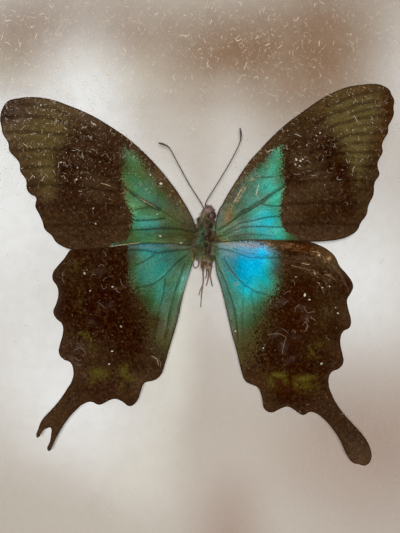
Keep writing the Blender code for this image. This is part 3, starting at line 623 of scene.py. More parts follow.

# %% [markdown]
# ## Markings of the right forewing
#
# This wing faces the light, and the clearer turquoise and the blue glow near the rear edge that the light raises on
# its patch are painted into its tones. The base of its cell is rubbed down to tan, with two small scars and pale
# streaks of painted highlight, and the vein behind the cell is the strongest line.

# %% Right forewing
FOREWING_RIGHT = {
    "patch": [
        (18.6, 22.8), (18.9, 21), (19.1, 18.5), (19.1, 16), (19.5, 14.2), (19.5, 12.5), (19, 10.5), (18.6, 8.5),
        (18.5, 6.5), (18.6, 4.5), (19, 3), (19.8, 1.8), (21.2, 1), (22.8, 0.2), (23.6, -0.8), (22, -2), (12, -2),
        (1.5, -2), (1, 2), (1.8, 4.6), (3.4, 7), (4.8, 8.8), (6.6, 11.6), (8.6, 13.9), (11, 16), (13.2, 18),
        (15.2, 20), (17, 21.9),
    ],
    "softness": [(20, 15, 0.8), (19, 5, 0.7), (13, 18, 1.5), (6, 10, 2.2), (3, 1, 1)],
    "tones": [
        (18.6, 22, 0.43, 1.33, 0.09), (17.4, 20.4, 0.46, 1.03, 0.02), (17, 17.6, 0.51, 1.22, 0.00),
        (18.9, 17.4, 0.31, 0.74, 0.01), (16, 15.6, 0.53, 1.12, 0.09), (15.6, 13.6, 0.59, 1.19, 0.05),
        (18.4, 14.2, 0.43, 0.77, 0.09), (13.6, 15.4, 0.49, 0.83, 0.19), (12.6, 17.6, 0.50, 0.45, 0.12),
        (14, 19, 0.31, 0.57, 0.19), (15.4, 20.2, 0.43, 0.64, 0.23), (11, 16.2, 0.41, 0.80, 0.35),
        (14.2, 12.4, 0.67, 0.90, 0.15), (12, 11.4, 0.52, 0.75, 0.31), (10.6, 9.8, 0.59, 0.72, 0.31),
        (9.2, 8.4, 0.43, 0.59, 0.27), (7.8, 7.4, 0.41, 0.62, 0.26), (10, 13, 0.43, 0.55, 0.30),
        (6.6, 9, 0.21, 0.55, 0.39), (5.2, 6.8, 0.00, 1.14, 0.17), (3.6, 6.6, 0.49, 0.61, 0.87),
        (2.8, 3.2, 0.39, 0.62, 0.43), (5.4, 4.6, 0.01, 0.96, 0.15), (18.4, 10.8, 0.49, 1.52, 0.00),
        (16.8, 9.4, 0.56, 1.14, 0.00), (14.8, 9.3, 0.47, 1.04, 0.24), (18, 7, 0.47, 1.03, 0.00),
        (15.4, 6.9, 0.72, 0.94, 0.10), (13, 6.7, 0.69, 0.99, 0.14), (11, 5.7, 0.59, 0.76, 0.23),
        (9, 5, 0.41, 0.60, 0.29), (17.9, 4.2, 0.66, 0.90, 0.10), (16, 4.1, 0.84, 0.88, 0.05),
        (13.8, 3.9, 0.81, 0.88, 0.15), (12, 3.8, 0.81, 0.94, 0.30), (10, 3.4, 0.64, 0.78, 0.46),
        (7.6, 2.9, 0.45, 1.11, 0.51), (18.6, 2, 0.59, 1.20, 0.09), (15.6, 1.9, 0.74, 0.97, 0.20),
        (13.6, 1.8, 0.79, 0.74, 0.11), (11.8, 2, 0.70, 0.82, 0.26), (9.8, 1.7, 0.54, 0.68, 0.20),
        (17, 0.5, 0.73, 0.97, 0.10), (19.6, 0.8, 0.51, 0.96, 0.00), (21.6, 0, 0.15, 0.46, 0.08),
        (14, 0, 0.70, 0.75, 0.21), (10.6, 0, 0.45, 0.60, 0.37), (7.4, 0.4, 0.37, 0.54, 0.35),
        (4.8, 1.6, 0.30, 1.01, 0.31), (2.8, 0.4, 0.04, 1.01, 0.04),
    ],
    "veins": [
        (1, [(21.4, 15), (19.6, 13.3), (17.5, 11.8), (16, 10.9), (15, 10.1), (13, 8.9), (11, 7.6), (9, 6.6)]),
        (1, [(20.6, 13.8), (18.8, 12.3), (17, 11.1), (15.6, 10.1), (14.4, 9.1), (12, 7.6), (9.6, 6.2)]),
        (0.9, [(9.2, 6.3), (7.5, 5), (5.4, 3.4), (3.4, 2.2)]),
        (0.85, [(18.9, 8), (16.5, 8), (14.4, 8.4)]),
        (0.8, [(18.9, 5.4), (16, 5.3), (14, 4.9), (11, 4.2), (9, 3.8), (6.8, 2.7), (4.6, 1.4)]),
        (0.8, [(19.3, 2.7), (16, 2.8), (12, 2.9), (9, 2.6), (7, 1.9), (5, 0.9), (3, 0.3)]),
        (0.5, [(17.2, 0.4), (13, 0.9), (9, 0.8), (6, 0.2)]),
        (0.7, [(12.4, 15.2), (14.6, 15.2), (16.8, 15.3)]),
        (1, [(27.6, 28.6), (31.5, 31.1), (35, 32.1), (38, 33.4), (42.5, 34.1)]),
        (0.9, [(36.5, 30.9), (40.5, 32.1), (45.4, 32.5)]),
        (1, [(26.5, 25), (32, 28.1), (35, 28.9), (38, 29.8), (42, 30.4), (46.2, 30.7)]),
        (1, [(26, 21.2), (30, 23.2), (34, 25), (36, 25.7), (39, 26), (44.8, 26.5)]),
        (0.8, [(33, 22.6), (36.5, 23.6), (43, 23.8)]),
        (1, [(25, 18.6), (31, 20.6), (35, 21.3), (42, 21.4)]),
        (0.9, [(24.6, 16), (31, 17.6), (36, 17.9), (42, 17.9)]),
        (0.9, [(22.5, 13.8), (30, 14.6), (34, 14.6), (37, 14.5), (41.4, 13.8)]),
        (0.8, [(20.5, 8.6), (27, 8.8), (34, 8.6), (40.6, 8.4)]),
        (0.8, [(19.6, 3.4), (26, 3.6), (32, 3.6), (38.4, 3.2)]),
        (0.8, [(30.5, 33), (34, 34.4), (38, 35.8), (42, 36.6)]), (0.6, [(37, 27.8), (41, 28.4), (45, 28.4)]),
        (0.6, [(36.6, 19.6), (40, 19.7), (42.6, 19.6)]), (0.5, [(36.4, 16.2), (39, 16), (41.6, 15.8)]),
    ],
    "ground": [
        (24, 29.6, 0.12, 0.15, 0.3), (27.4, 32, 0.31, 0.36, 0.3), (30.4, 33.6, 0.52, 0.22, 0.3),
        (36, 36, 0.58, 0.39, 0.2), (41, 37, 0.52, 0.54, 0.2), (45, 34.4, 0.09, 0.15, 0.2),
        (28.4, 29.6, 0.19, 0.15, 0.8), (31.4, 31, 0.72, 0.26, 0.3), (34, 31, 0.97, 0.19, 0.2),
        (38.6, 32.6, 0.98, 0.35, 0.2), (42.4, 32, 0.83, 0.70, 0.2), (45, 30.4, 0.20, 0.17, 0.1),
        (31, 28, 0.52, 0.58, 0.4), (33.2, 28, 0.86, 0.16, 0.2), (36.6, 28, 1.00, 0.01, 0.2),
        (40, 28.6, 0.90, 0.44, 0.1), (43.4, 27.6, 0.40, 0.41, 0.1), (32.6, 24.6, 0.28, 0.16, 0.3),
        (34.8, 25, 0.82, 0.04, 0.3), (36.6, 24.4, 1.00, 0.00, 0.3), (39, 24.6, 0.88, 0.29, 0.1),
        (42, 24.6, 0.39, 0.24, 0.1), (34, 21.6, 0.25, 0.07, 0.2), (36.4, 21.6, 0.87, 0.00, 0.2),
        (38.6, 20.6, 1.00, 0.45, 0.5), (41, 21.2, 0.38, 0.23, 0.2), (35.4, 17.6, 0.12, 0.03, 0.2),
        (37.6, 18, 0.91, 0.25, 0.3), (39.8, 18, 0.33, 0.14, 0.1), (41.6, 16.4, 0.15, 0.27, 0.1),
        (36.2, 14.6, 0.14, 0.12, 0.1), (38.2, 14.8, 0.50, 0.00, 0.2), (38.4, 11.8, 0.18, 0.13, 0.3),
        (40.4, 12.4, 0.10, 0.13, 0.1), (24, 26.4, 0.14, 0.19, 0.4), (28.4, 26, 0.13, 0.43, 0.8),
        (31.4, 24.8, 0.07, 0.00, 0.6), (23, 23, 0.07, 0.18, 0.5), (22.6, 19.4, 0.15, 0.42, 1),
        (27, 20, 0.08, 0.33, 0.8), (31, 18.6, 0.03, 0.09, 0.3), (28, 15.2, 0.12, 0.47, 0.3),
        (23, 15, 0.05, 0.18, 0.6), (22.4, 11.6, 0.03, 0.45, 0.4), (27, 11, 0.09, 0.41, 0.2),
        (32, 11.6, 0.06, 0.28, 0.3), (36, 10.6, 0.04, 0.09, 0.2), (21.4, 7.4, 0.02, 0.61, 0.3),
        (27, 5.6, 0.10, 0.00, 0.15), (30.6, 6.6, 0.03, 0.16, 0.5), (36, 6.4, 0.03, 0.08, 0.3),
        (39, 8, 0.14, 0.41, 0.2), (23.6, 3, 0.04, 0.41, 0.4), (29, 2, 0.01, 0.51, 0.5),
        (35, 3, 0.02, 0.46, 0.3), (19.8, 22, 0.13, 0.12, 0.3), (20.8, 18.6, 0.09, 0.06, 0.6),
        (5, 9.6, 0.18, 0.87, 0.7), (9, 15.8, 0.06, 0.74, 0.7), (13, 20.2, 0.10, 0.65, 0.6),
        (17.4, 24.4, 0.12, 0.49, 0.4), (2, 3, 0.13, 0.34, 0.2),
    ],
    # Some of these pale streaks on the cell are painted highlights.
    "rubs_and_highlights": [
        (5.3, 5.2, 2.6, 0.95, 60, 0.6), (8.2, 10.8, 2.6, 0.35, 60, 0.6), (6.6, 8.2, 1.6, 0.4, 60, 0.4),
        (7.2, 9.2, 0.5, 0.3, 60, 0.7), (11.5, 14.7, 0.7, 0.3, 30, 0.75), (5.2, -0.5, 1.2, 0.25, 10, 0.6),
        (3.6, 3.4, 0.8, 0.5, 60, 0.4), (8.4, 14.4, 5.5, 0.5, 55, 0.42), (11.8, 7.9, 2.6, 0.22, 32, 0.6),
        (8, 2.4, 1.2, 0.2, 14, 0.6), (9.6, 12.6, 0.5, 0.25, 60, 0.75), (6.7, 10.4, 0.7, 0.5, 60, 0.35),
    ],
    "lunules": [],
    "lilac": [(7.4, 10.6, 1.6, 0.5, 60, 0.5), (8, 6.9, 1.2, 0.4, 40, 0.35), (9, 0.9, 3, 0.35, 8, 0.3)],
    "rust": [(45.4, 32, 2.2, 5, 12, 0.28), (38, 36.6, 6, 1.4, 14, 0.28), (44, 24, 1.8, 6, 8, 0.3),
             (30, 32.6, 5, 1.2, 42, 0.2)],
    "scuffs_and_glints": [
        (0.3, [(12.6, 11), (12.8, 12), (13.2, 13.2)]), (0.22, [(7.2, 9.4), (8.2, 11.2), (9.4, 12.9)]),
        (0.22, [(7.8, 9), (8.9, 10.8), (10, 12.6)]),
    ],
}
print("right forewing:", len(FOREWING_RIGHT["veins"]), "veins")

# %% [markdown]
# ## Markings of the left hindwing
#
# Here the bright patch thins out scale by scale towards the rear, so its edge gets a softness that grows from
# under a millimetre at the front to several at the rear. Dull green crescents lie before the scalloped margin.

# %% Left hindwing
HINDWING_LEFT = {
    "patch": [
        (-19.8, -0.5), (-19.6, -3), (-19.7, -5.4), (-19.4, -8), (-19, -10.4), (-18.4, -12.4), (-17.2, -14.6),
        (-16, -17), (-15, -20), (-14.4, -23.5), (-13.4, -27.4), (-11.4, -30.2), (-8.4, -29.5), (-5, -22),
        (-3, -14), (-1, -6), (-1, 0), (-6, 4), (-16, 4),
    ],
    "softness": [
        (-20, -3, 0.9), (-19.4, -9, 1.6), (-17.5, -14, 3), (-15.5, -20, 4.4), (-13, -28, 4.5), (-4, -10, 0.6),
    ],
    "tones": [
        (-18.4, -2, 0.53, 0.35, 0.30), (-16, -2.1, 0.79, 0.46, 0.10), (-13, -2.2, 0.79, 0.48, 0.15),
        (-10, -2.1, 0.54, 0.46, 0.11), (-6.8, -2.2, 0.21, 0.56, 0.01), (-18.2, -4.2, 0.29, 0.36, 0.30),
        (-16, -4.2, 0.58, 0.73, 0.16), (-19.3, -6, 0.07, 0.38, 0.11), (-17.4, -8, 0.43, 0.59, 0.10),
        (-14.4, -6.4, 0.57, 0.76, 0.17), (-12, -5.4, 0.66, 0.57, 0.16), (-10.6, -6.9, 0.66, 0.54, 0.11),
        (-12, -8.6, 0.67, 0.69, 0.10), (-14.6, -9, 0.59, 0.67, 0.14), (-16.4, -10.6, 0.47, 0.55, 0.05),
        (-18.4, -11, 0.19, 0.63, 0.16), (-13, -10.2, 0.59, 0.76, 0.12), (-10.2, -8.8, 0.57, 0.80, 0.12),
        (-9, -5, 0.57, 0.45, 0.24), (-7.2, -4.4, 0.44, 0.54, 0.15), (-5, -3.6, 0.28, 0.66, 0.19),
        (-8, -7.2, 0.51, 0.62, 0.23), (-6.4, -6.4, 0.34, 0.54, 0.16), (-15.4, -13, 0.33, 0.62, 0.08),
        (-17.2, -14.2, 0.08, 0.48, 0.00), (-13.4, -12.4, 0.43, 0.64, 0.10), (-11.5, -13, 0.56, 0.77, 0.07),
        (-12, -15.4, 0.48, 0.67, 0.05), (-14.4, -15.6, 0.19, 0.45, 0.03), (-13.2, -18, 0.19, 0.54, 0.09),
        (-12.2, -20.4, 0.01, 0.48, 0.00), (-15.4, -19, 0.03, 0.48, 0.00), (-14, -23, 0.03, 0.56, 0.00),
        (-9.4, -11.2, 0.42, 0.70, 0.10), (-9.6, -14.6, 0.44, 0.63, 0.19), (-10.2, -18.2, 0.38, 0.70, 0.30),
        (-10.4, -21.6, 0.08, 0.74, 0.24), (-10.8, -25, 0.03, 0.68, 0.06), (-11.6, -28.4, 0.00, 0.48, 0.05),
        (-4.6, -7.2, 0.39, 0.85, 0.17), (-5.3, -10.2, 0.56, 1.33, 0.01), (-6.1, -13, 0.46, 1.23, 0.01),
        (-7, -16.4, 0.28, 0.69, 0.15), (-7.8, -20, 0.16, 0.71, 0.01), (-8.4, -23, 0.07, 0.72, 0.01),
        (-8.4, -13, 0.48, 0.71, 0.15), (-7.3, -9.6, 0.44, 0.78, 0.20), (-3, -1.6, 0.04, 0.62, 0.10),
        (-3.2, -4.4, 0.07, 0.66, 0.09),
    ],
    "veins": [
        (0.68, [(-19.2, -1.7), (-16.6, -1.4), (-14, -1.3), (-11, -1.4)]),
        (0.85, [(-19, -2.9), (-16.6, -3), (-14.4, -3.2), (-12.2, -3.7), (-9.8, -3.3), (-6.6, -3),
                (-4, -2.7)]),
        (0.77, [(-12.8, -3.6), (-14, -4.9), (-15.6, -5.8), (-17.8, -6.9)]),
        (0.77, [(-17.6, -12.4), (-15.4, -12.1), (-13.2, -11.4), (-11.2, -10.1), (-9.4, -8.3), (-7.6, -6.4),
                (-5, -4.2)]),
        (0.68, [(-10.3, -10.2), (-10.6, -12.4), (-10.9, -14.6), (-11.6, -17), (-12.2, -19.6), (-12.8, -23),
                (-13.4, -26)]),
        (0.85, [(-5.4, -6.4), (-6.5, -9.6), (-7.5, -12.2), (-8.3, -15), (-9.1, -18.2), (-9.7, -21.5),
                (-10.4, -25)]),
        (0.51, [(-6.3, -10.6), (-7.9, -13.6), (-8.7, -16.4), (-9.4, -19)]),
        (0.42, [(-4.6, -5.4), (-5.3, -9.6), (-6.2, -14), (-7.4, -19), (-8.6, -24)]),
        (0.42, [(-14.6, -14), (-15.4, -17), (-16, -21), (-17.6, -27), (-19, -33), (-19.6, -38)]),
        (0.34, [(-17.6, -12.4), (-21, -18), (-24.6, -26), (-29, -34), (-35, -42), (-38, -47)]),
        (0.34, [(-17.8, -7), (-25, -12), (-31, -18), (-36.4, -25)]),
        (0.34, [(-19.4, -2.9), (-27, -5), (-33, -9), (-37, -13.6)]),
    ],
    "ground": [
        (-21.5, -5, 0.03, 0.01, 0.2), (-26, -4, 0.02, 0.14, 0.3), (-31, -4, 0.03, 0.04, 0.3),
        (-34, -5, 0.06, 0.15, 0.2), (-33, -8, 0.10, 0.07, 0.3), (-37, -9.4, 0.00, 0.18, 0.3),
        (-30, -10, 0.05, 0.01, 0.4), (-25, -10, 0.00, 0.02, 0.5), (-21, -11, 0.01, 0.04, 0.4),
        (-34, -13, 0.04, 0.02, 0.1), (-36, -14, 0.01, 0.00, 0.1), (-31.4, -16, 0.00, 0.07, 0.2),
        (-27, -16, 0.00, 0.00, 0.4), (-22, -17, 0.00, 0.00, 0.4), (-19, -15, 0.05, 0.00, 0.2),
        (-33.6, -19, 0.01, 0.04, 0.2), (-37, -19, 0.00, 0.00, 0.2), (-27, -22, 0.00, 0.00, 0.4),
        (-22, -23, 0.00, 0.00, 0.4), (-17.6, -19, 0.05, 0.00, 0.2), (-32, -22, 0.00, 0.07, 0.3),
        (-36, -23.6, 0.02, 0.45, 0.2), (-33.6, -28.6, 0.00, 0.27, 0.6), (-36, -28, 0.00, 0.49, 0.3),
        (-27.4, -29, 0.03, 0.32, 0.4), (-23, -29, 0.04, 0.09, 0.3), (-18, -28, 0.01, 0.06, 0.1),
        (-15.6, -24, 0.00, 0.00, 0.1), (-33, -33, 0.00, 0.46, 0.2), (-28, -37.6, 0.01, 0.25, 0.2),
        (-23.6, -37.6, 0.00, 0.25, 0.1), (-34, -40, 0.00, 0.39, 0.3), (-38, -45, 0.00, 0.59, 0.3),
        (-40, -51, 0.06, 0.60, 0.2), (-19, -40.6, 0.00, 0.31, 0.1), (-15.6, -36, 0.07, 0.61, 0.2),
        (-12.4, -32, 0.00, 0.27, 0.4), (-14.6, -30, 0.03, 0.28, 0.3), (-16.4, -32, 0.02, 0.17, 0.1),
        (-24, -33.2, 0.02, 0.22, 0.2),
    ],
    "rubs_and_highlights": [(-3.2, -5, 0.8, 1.6, 20, 0.45), (-22.7, -12.6, 1.2, 0.4, -30, 0.5),
             (-28.6, -25.8, 1, 0.35, -40, 0.4)],
    "lunules": [
        (-26.8, -33.9, 3, 1.7, -4, 0.66), (-28.6, -35.4, 1.4, 1.4, 0, 0.45), (-20.6, -33.2, 1.7, 1.6, 20, 0.62),
        (-19.4, -35, 1.9, 1.2, -30, 0.58), (-21.2, -37, 0.7, 1.6, 0, 0.42), (-30.2, -24.4, 2.4, 1.3, -30, 0.40),
        (-28.6, -27, 1.5, 1.3, 0, 0.42), (-31.4, -16, 0.9, 3.4, 0, 0.26), (-32.6, -7, 2.4, 1.6, 30, 0.26),
        (-34.4, -13.4, 1.4, 1.4, 0, 0.1), (-34.2, -20, 1, 2.4, 0, 0.1), (-13, -27, 1, 3.4, 8, 0.26),
    ],
    "lilac": [
        (-14.6, -2.2, 4.6, 0.7, 0, 0.42), (-9, -2, 3, 0.9, 0, 0.50), (-6, -2.4, 1.6, 0.8, 0, 0.35),
        (-5.6, -11.5, 0.8, 4.5, -12, 0.3), (-7.6, -20, 0.8, 4, -10, 0.3), (-36.8, -15, 1.4, 9, 0, 0.12),
        (-26.5, -8.4, 1.6, 0.8, 10, 0.3), (-22.6, -12.6, 1.2, 0.6, -20, 0.3), (-24.4, -17, 1.4, 0.8, 40, 0.2),
        (-28.6, -21, 1.6, 0.8, -30, 0.2), (-31.6, -27, 1.6, 1, 0, 0.3), (-33.4, -30.4, 2, 1, -50, 0.35),
        (-30.4, -34.6, 1.2, 0.6, 30, 0.3),
    ],
    "rust": [],
    "scuffs_and_glints": [(0.35, [(-13.6, -29.6), (-12.8, -29.9), (-12.2, -30.8), (-11.9, -31.8)])],
}
print("left hindwing:", len(HINDWING_LEFT["lunules"]), "lunules")

# %% [markdown]
# ## Markings of the right hindwing
#
# The same wing on the other side carries the brightest blue of all, partly a sheen that is painted into its tones,
# under a strip of rubbed tan and violet at the front edge. Its outer front corner is bare and scratched, and its
# shine is painted on as pale glints along the scratches and the fine ripples of its membrane.

# %% Right hindwing
HINDWING_RIGHT = {
    "patch": [
        (15.2, -1.9), (16.8, -2.7), (18, -3.8), (18.5, -5.4), (18.5, -8), (18.3, -11), (17.7, -13.4), (16.6, -15.2),
        (15.6, -17.4), (14.8, -20.4), (13.8, -23.4), (12.8, -26.4), (11.4, -29.6), (9.2, -31.6), (7, -30),
        (4, -19), (1, -9), (0.8, -2), (2, -1.1), (6, -0.9), (12, -1),
    ],
    "softness": [
        (18.4, -4, 1.6), (18.4, -9, 2.2), (17, -14, 2.6), (15, -20, 4), (12.5, -27, 4.4), (10, -1, 0.9),
        (3, -10, 0.6),
    ],
    "tones": [
        (3.4, -3, 0.68, 0.75, 0.46), (6, -3, 0.81, 0.78, 0.36), (9, -3, 0.97, 0.89, 0.35),
        (12, -2.9, 0.99, 0.82, 0.36), (14.4, -3.4, 1.00, 1.02, 0.05), (16.6, -3.8, 0.88, 0.53, 0.40),
        (8.6, -5.4, 1.00, 0.58, 0.00), (10.6, -6.2, 1.00, 0.81, 0.00), (13, -6.2, 1.00, 0.74, 0.00),
        (14.8, -6.4, 0.90, 0.87, 0.05), (12.2, -8.8, 0.94, 0.85, 0.00), (9.2, -8.8, 0.97, 0.61, 0.00),
        (10.6, -11, 0.89, 0.68, 0.00), (15.8, -6.6, 0.79, 0.74, 0.09), (17.2, -7.4, 0.71, 0.32, 0.39),
        (14.6, -9.4, 0.84, 0.68, 0.00), (16.4, -10.8, 0.64, 0.68, 0.06), (13.4, -11.6, 0.76, 0.76, 0.04),
        (18.4, -9, 0.21, 0.47, 0.30), (15.2, -13.4, 0.57, 0.76, 0.10), (12, -13.2, 0.80, 0.87, 0.10),
        (9.4, -12.6, 0.84, 0.84, 0.00), (10.4, -14.2, 0.79, 0.84, 0.05), (7.8, -13.4, 0.70, 0.70, 0.15),
        (13, -15.4, 0.56, 0.67, 0.06), (10.8, -16.4, 0.52, 0.84, 0.08), (8.6, -17, 0.53, 0.86, 0.16),
        (14.8, -16.6, 0.18, 0.48, 0.14), (12, -18.6, 0.31, 0.53, 0.15), (14.4, -19.6, 0.07, 0.48, 0.00),
        (9.4, -20, 0.41, 0.64, 0.20), (12.4, -22, 0.07, 0.55, 0.00), (9.4, -22.8, 0.12, 0.61, 0.10),
        (11, -25.2, 0.03, 0.58, 0.02), (8.4, -25.4, 0.05, 0.77, 0.02), (11.6, -28, 0.00, 0.74, 0.00),
        (9.2, -28.6, 0.00, 0.54, 0.00), (4.4, -5, 0.79, 0.62, 0.33), (4.4, -8, 0.68, 0.64, 0.20),
        (6.6, -6.4, 0.87, 0.48, 0.24), (7.2, -9.4, 0.85, 0.54, 0.01), (5.4, -10.8, 0.69, 0.65, 0.13),
        (6.2, -13, 0.60, 0.74, 0.15), (7, -16, 0.57, 0.69, 0.21), (2.8, -4.4, 0.47, 0.68, 0.23),
        (2.8, -7.6, 0.39, 0.88, 0.15), (4, -12, 0.52, 0.59, 0.20), (5.3, -15.4, 0.47, 0.57, 0.19),
        (6.4, -20, 0.33, 0.68, 0.10), (7, -23.6, 0.07, 0.84, 0.15), (8.4, -29, 0.00, 0.67, 0.02),
    ],
    "veins": [
        (0.68, [(3.6, -2.6), (6, -3.1), (8, -3.8), (10, -4.5), (12, -4.9), (15, -4.9), (18.6, -4.9)]),
        (0.38, [(7.4, -2.6), (10, -3.5), (13, -4.1), (15.6, -4.3)]),
        (0.68, [(4.6, -5), (6, -7.6), (7.6, -9.6), (9.2, -11.2), (11, -12.5), (12.8, -13.5), (15.4, -14.1)]),
        (0.22, [(7.6, -4.3), (9.6, -5.6), (11.2, -6.8), (12.4, -7.8)]),
        (0.75, [(2.4, -5.2), (3.4, -7.6), (4.5, -10), (5.6, -12.8), (6.6, -15.6), (7.3, -18.4), (7.8, -22),
                (8.1, -26)]),
        (0.34, [(9.4, -11.3), (9.4, -14), (9.4, -17.4), (9.2, -21), (9.6, -26)]),
        (0.34, [(11.2, -12.6), (11.8, -16), (12.4, -20), (13.4, -25), (14.6, -31), (16, -38)]),
        (0.3, [(15.4, -14.1), (19, -20), (22.6, -28), (26, -36), (31, -42), (37, -50)]),
        (0.3, [(18.6, -9), (24, -14), (29.6, -20), (33.8, -27)]),
        (0.3, [(18.6, -4.9), (26, -7), (32, -10.6), (35.4, -14.6)]),
    ],
    "ground": [
        (16, -1.6, 0.35, 0.75, 0.1), (21, -2.2, 0.00, 0.00, 0.1), (26, -3, 0.02, 0.17, 0.2),
        (31, -5, 0.25, 0.90, 0.2), (34.6, -10, 0.00, 0.21, 0.2), (20, -6, 0.10, 0.30, 0.3),
        (25, -6.4, 0.08, 0.29, 0.2), (30, -8, 0.10, 0.12, 0.3), (21, -10, 0.06, 0.04, 0.3),
        (26, -11, 0.02, 0.03, 0.3), (31, -12, 0.09, 0.14, 0.3), (34.6, -14.4, 0.03, 0.19, 0.1),
        (19, -15.6, 0.00, 0.00, 0.2), (24, -17, 0.00, 0.00, 0.4), (30.4, -17.6, 0.13, 0.00, 0.2),
        (35, -19, 0.02, 0.52, 0.2), (17.4, -20, 0.07, 0.00, 0.2), (23, -22, 0.00, 0.00, 0.4),
        (29, -21.6, 0.10, 0.01, 0.2), (33, -22.6, 0.02, 0.11, 0.1), (18, -27, 0.03, 0.00, 0.2),
        (23.6, -27.6, 0.03, 0.02, 0.3), (28.4, -24.6, 0.08, 0.03, 0.1), (32.6, -28, 0.02, 0.33, 0.1),
        (15, -30, 0.01, 0.01, 0.2), (21, -31, 0.00, 0.00, 0.3), (30, -31.6, 0.02, 0.07, 0.2),
        (11.6, -33.4, 0.00, 0.30, 0.4), (14.4, -36, 0.13, 0.25, 0.2), (18.4, -38.4, 0.02, 0.00, 0.1),
        (16, -41.6, 0.01, 0.37, 0.2), (24, -39.6, 0.03, 0.03, 0.1), (24, -42.6, 0.02, 0.22, 0.1),
        (29, -37, 0.01, 0.20, 0.1), (29.6, -42, 0.02, 0.32, 0.4), (34, -46, 0.02, 0.27, 0.2),
        (37, -51, 0.03, 0.32, 0.3), (38.6, -55.4, 0.00, 0.78, 0.2),
    ],
    # The strong spot at (30.8, -5.2) and some strokes near it are painted highlights.
    "rubs_and_highlights": [
        (5.2, -1.1, 2, 0.35, 14, 0.85), (9.5, -1.4, 5, 0.4, 0, 0.6), (15.6, -1.6, 2.6, 0.6, -8, 0.45),
        (21, -2, 5, 1, -6, 0.5), (26.5, -3.4, 3.4, 1, -25, 0.42), (30.8, -5.2, 0.5, 0.6, 0, 1.2),
        (28.2, -4, 0.8, 0.5, -30, 0.6), (30, -9, 3, 1.8, -50, 0.26),
    ],
    "lunules": [
        (18.2, -34.4, 2.2, 0.9, -4, 0.80), (16.2, -35.8, 1.1, 1.9, 8, 0.62), (20, -35.6, 0.8, 1.4, -10, 0.50),
        (24.6, -35.2, 3.1, 1, 6, 0.80), (22.6, -36.6, 1, 1.3, 0, 0.60), (25, -37, 2.6, 1.4, 0, 0.56),
        (27.8, -37.6, 0.9, 2.4, 10, 0.36), (28.4, -26.6, 2.2, 1.1, 20, 0.42), (26.4, -28.6, 1, 1.8, 0, 0.45),
        (28, -30, 1.8, 0.7, 0, 0.22), (29.4, -20.6, 1.4, 3, 0, 0.22), (15.4, -21, 1.2, 3, 0, 0.24),
    ],
    "lilac": [
        (6.5, -2, 3.4, 0.7, 0, 0.6), (11.5, -1.9, 4, 0.7, 0, 0.75), (6, -4, 2, 1.2, 0, 0.45),
        (6.6, -8.6, 2.4, 0.4, -52, 0.55), (7.6, -11.5, 0.5, 0.4, 0, 0.9), (15.4, -2.8, 1.6, 0.5, -20, 0.5),
        (9.4, -3.6, 2, 0.5, 0, 0.25), (4, -9.5, 1.3, 5.5, 12, 0.28), (6, -19, 1, 5, 8, 0.28),
        (37, -51.5, 2.2, 5, 24, 0.16), (18.8, -16.1, 1.6, 0.8, 20, 0.35), (23.8, -17.4, 1, 0.8, 0, 0.35),
        (25, -19.9, 1.4, 0.8, 30, 0.3), (17.4, -24.2, 1.2, 0.8, 40, 0.35), (19.4, -27.2, 1, 1.6, 0, 0.4),
        (21.3, -30.5, 2, 0.7, 30, 0.3), (22.4, -24.8, 1.5, 0.7, 0, 0.2), (29.8, -18.6, 0.6, 1.4, 0, 0.25),
    ],
    "rust": [(24, -2.6, 7, 1, -10, 0.45), (24, -18, 6, 10, 0, 0.1), (20, -36, 8, 3, 0, 0.16)],
    # Most of these short strokes on the bare corner are painted glints.
    "scuffs_and_glints": [
        (0.5, [(26.9, -3.4), (27.7, -3.4), (28.5, -3.8)]), (0.8, [(24.1, -6.3), (24.5, -6.4), (24.8, -6.5)]),
        (0.8, [(25.1, -6.6), (25.5, -6.6), (25.8, -6.6)]), (0.2, [(21.5, -6.9), (23.5, -7.4), (26, -8)]),
        (0.7, [(26.9, -8.6), (27.1, -8.7), (27.3, -8.9)]), (0.5, [(27.8, -9.7), (27.9, -9.8), (28, -9.9)]),
        (0.6, [(28.1, -11.2), (28.3, -11.3), (28.4, -11.4)]), (0.3, [(29.4, -4.8), (29.6, -5.4), (29.9, -6)]),
        (0.6, [(30.5, -5.2), (30.8, -5.1), (31, -4.9)]), (0.3, [(29.8, -9.2), (30.2, -9.2), (30.6, -9.5)]),
        (0.22, [(30.6, -9), (31.2, -9.5), (32.2, -10.4)]), (0.6, [(28.2, -4.3), (28.3, -4.4), (28.4, -4.4)]),
    ],
}
# The ripples are faint painted glints along fine wrinkles of the bare corner.
RIPPLE_CENTRE = (21.6, -16.6)
ripple = np.random.default_rng(3)
for radius in np.arange(8.4, 14.4, 0.46):
    start = math.radians(ripple.uniform(30, 96))
    turns = start - np.linspace(0, ripple.uniform(0.25, 0.6), 5)
    arc = [
        (RIPPLE_CENTRE[0] + radius * math.cos(turn), RIPPLE_CENTRE[1] + radius * math.sin(turn))
        for turn in turns
    ]
    HINDWING_RIGHT["scuffs_and_glints"].append((ripple.uniform(0.03, 0.10), arc))
print("right hindwing:", len(HINDWING_RIGHT["scuffs_and_glints"]), "scratches")

# %% [markdown]
# ## Making the wing skins
#
# The wing's solid has the true outline, but too few points to carry markings. A copy of it is flattened and
# drawn up into a cutter, as a pastry cutter is, and a fine square net is cut with it. The net is then raised to
# the curve that the solid follows, veins and all, and given a thin skin's thickness.

# %% Cut the nets
NET_STEP = 0.24 * MM
SKIN = 0.11 * MM
HALF_SPAN = 50.0
RISE, FLATTENING, FRONT_DROOP, REAR_DROOP = 4.0, 1.2, 0.8, 1.4
REAR_BEND_START = 0.2
FOREWING_LIFT = 0.65
VEIN_RELIEF = 0.07
VEIN_HALF_WIDTH = 0.24
KNOWN_REACH = 4.0


def wing_height(x, y):
    """Height of the spread wing above its root, in millimetres: it rises outward and droops at both ends."""
    outward = np.abs(x) / HALF_SPAN
    forward = np.maximum(0, y / HALF_SPAN)
    backward = np.maximum(0, -y / HALF_SPAN - REAR_BEND_START)
    return RISE * outward - FLATTENING * outward ** 2 - FRONT_DROOP * forward ** 2 - REAR_DROOP * backward ** 2


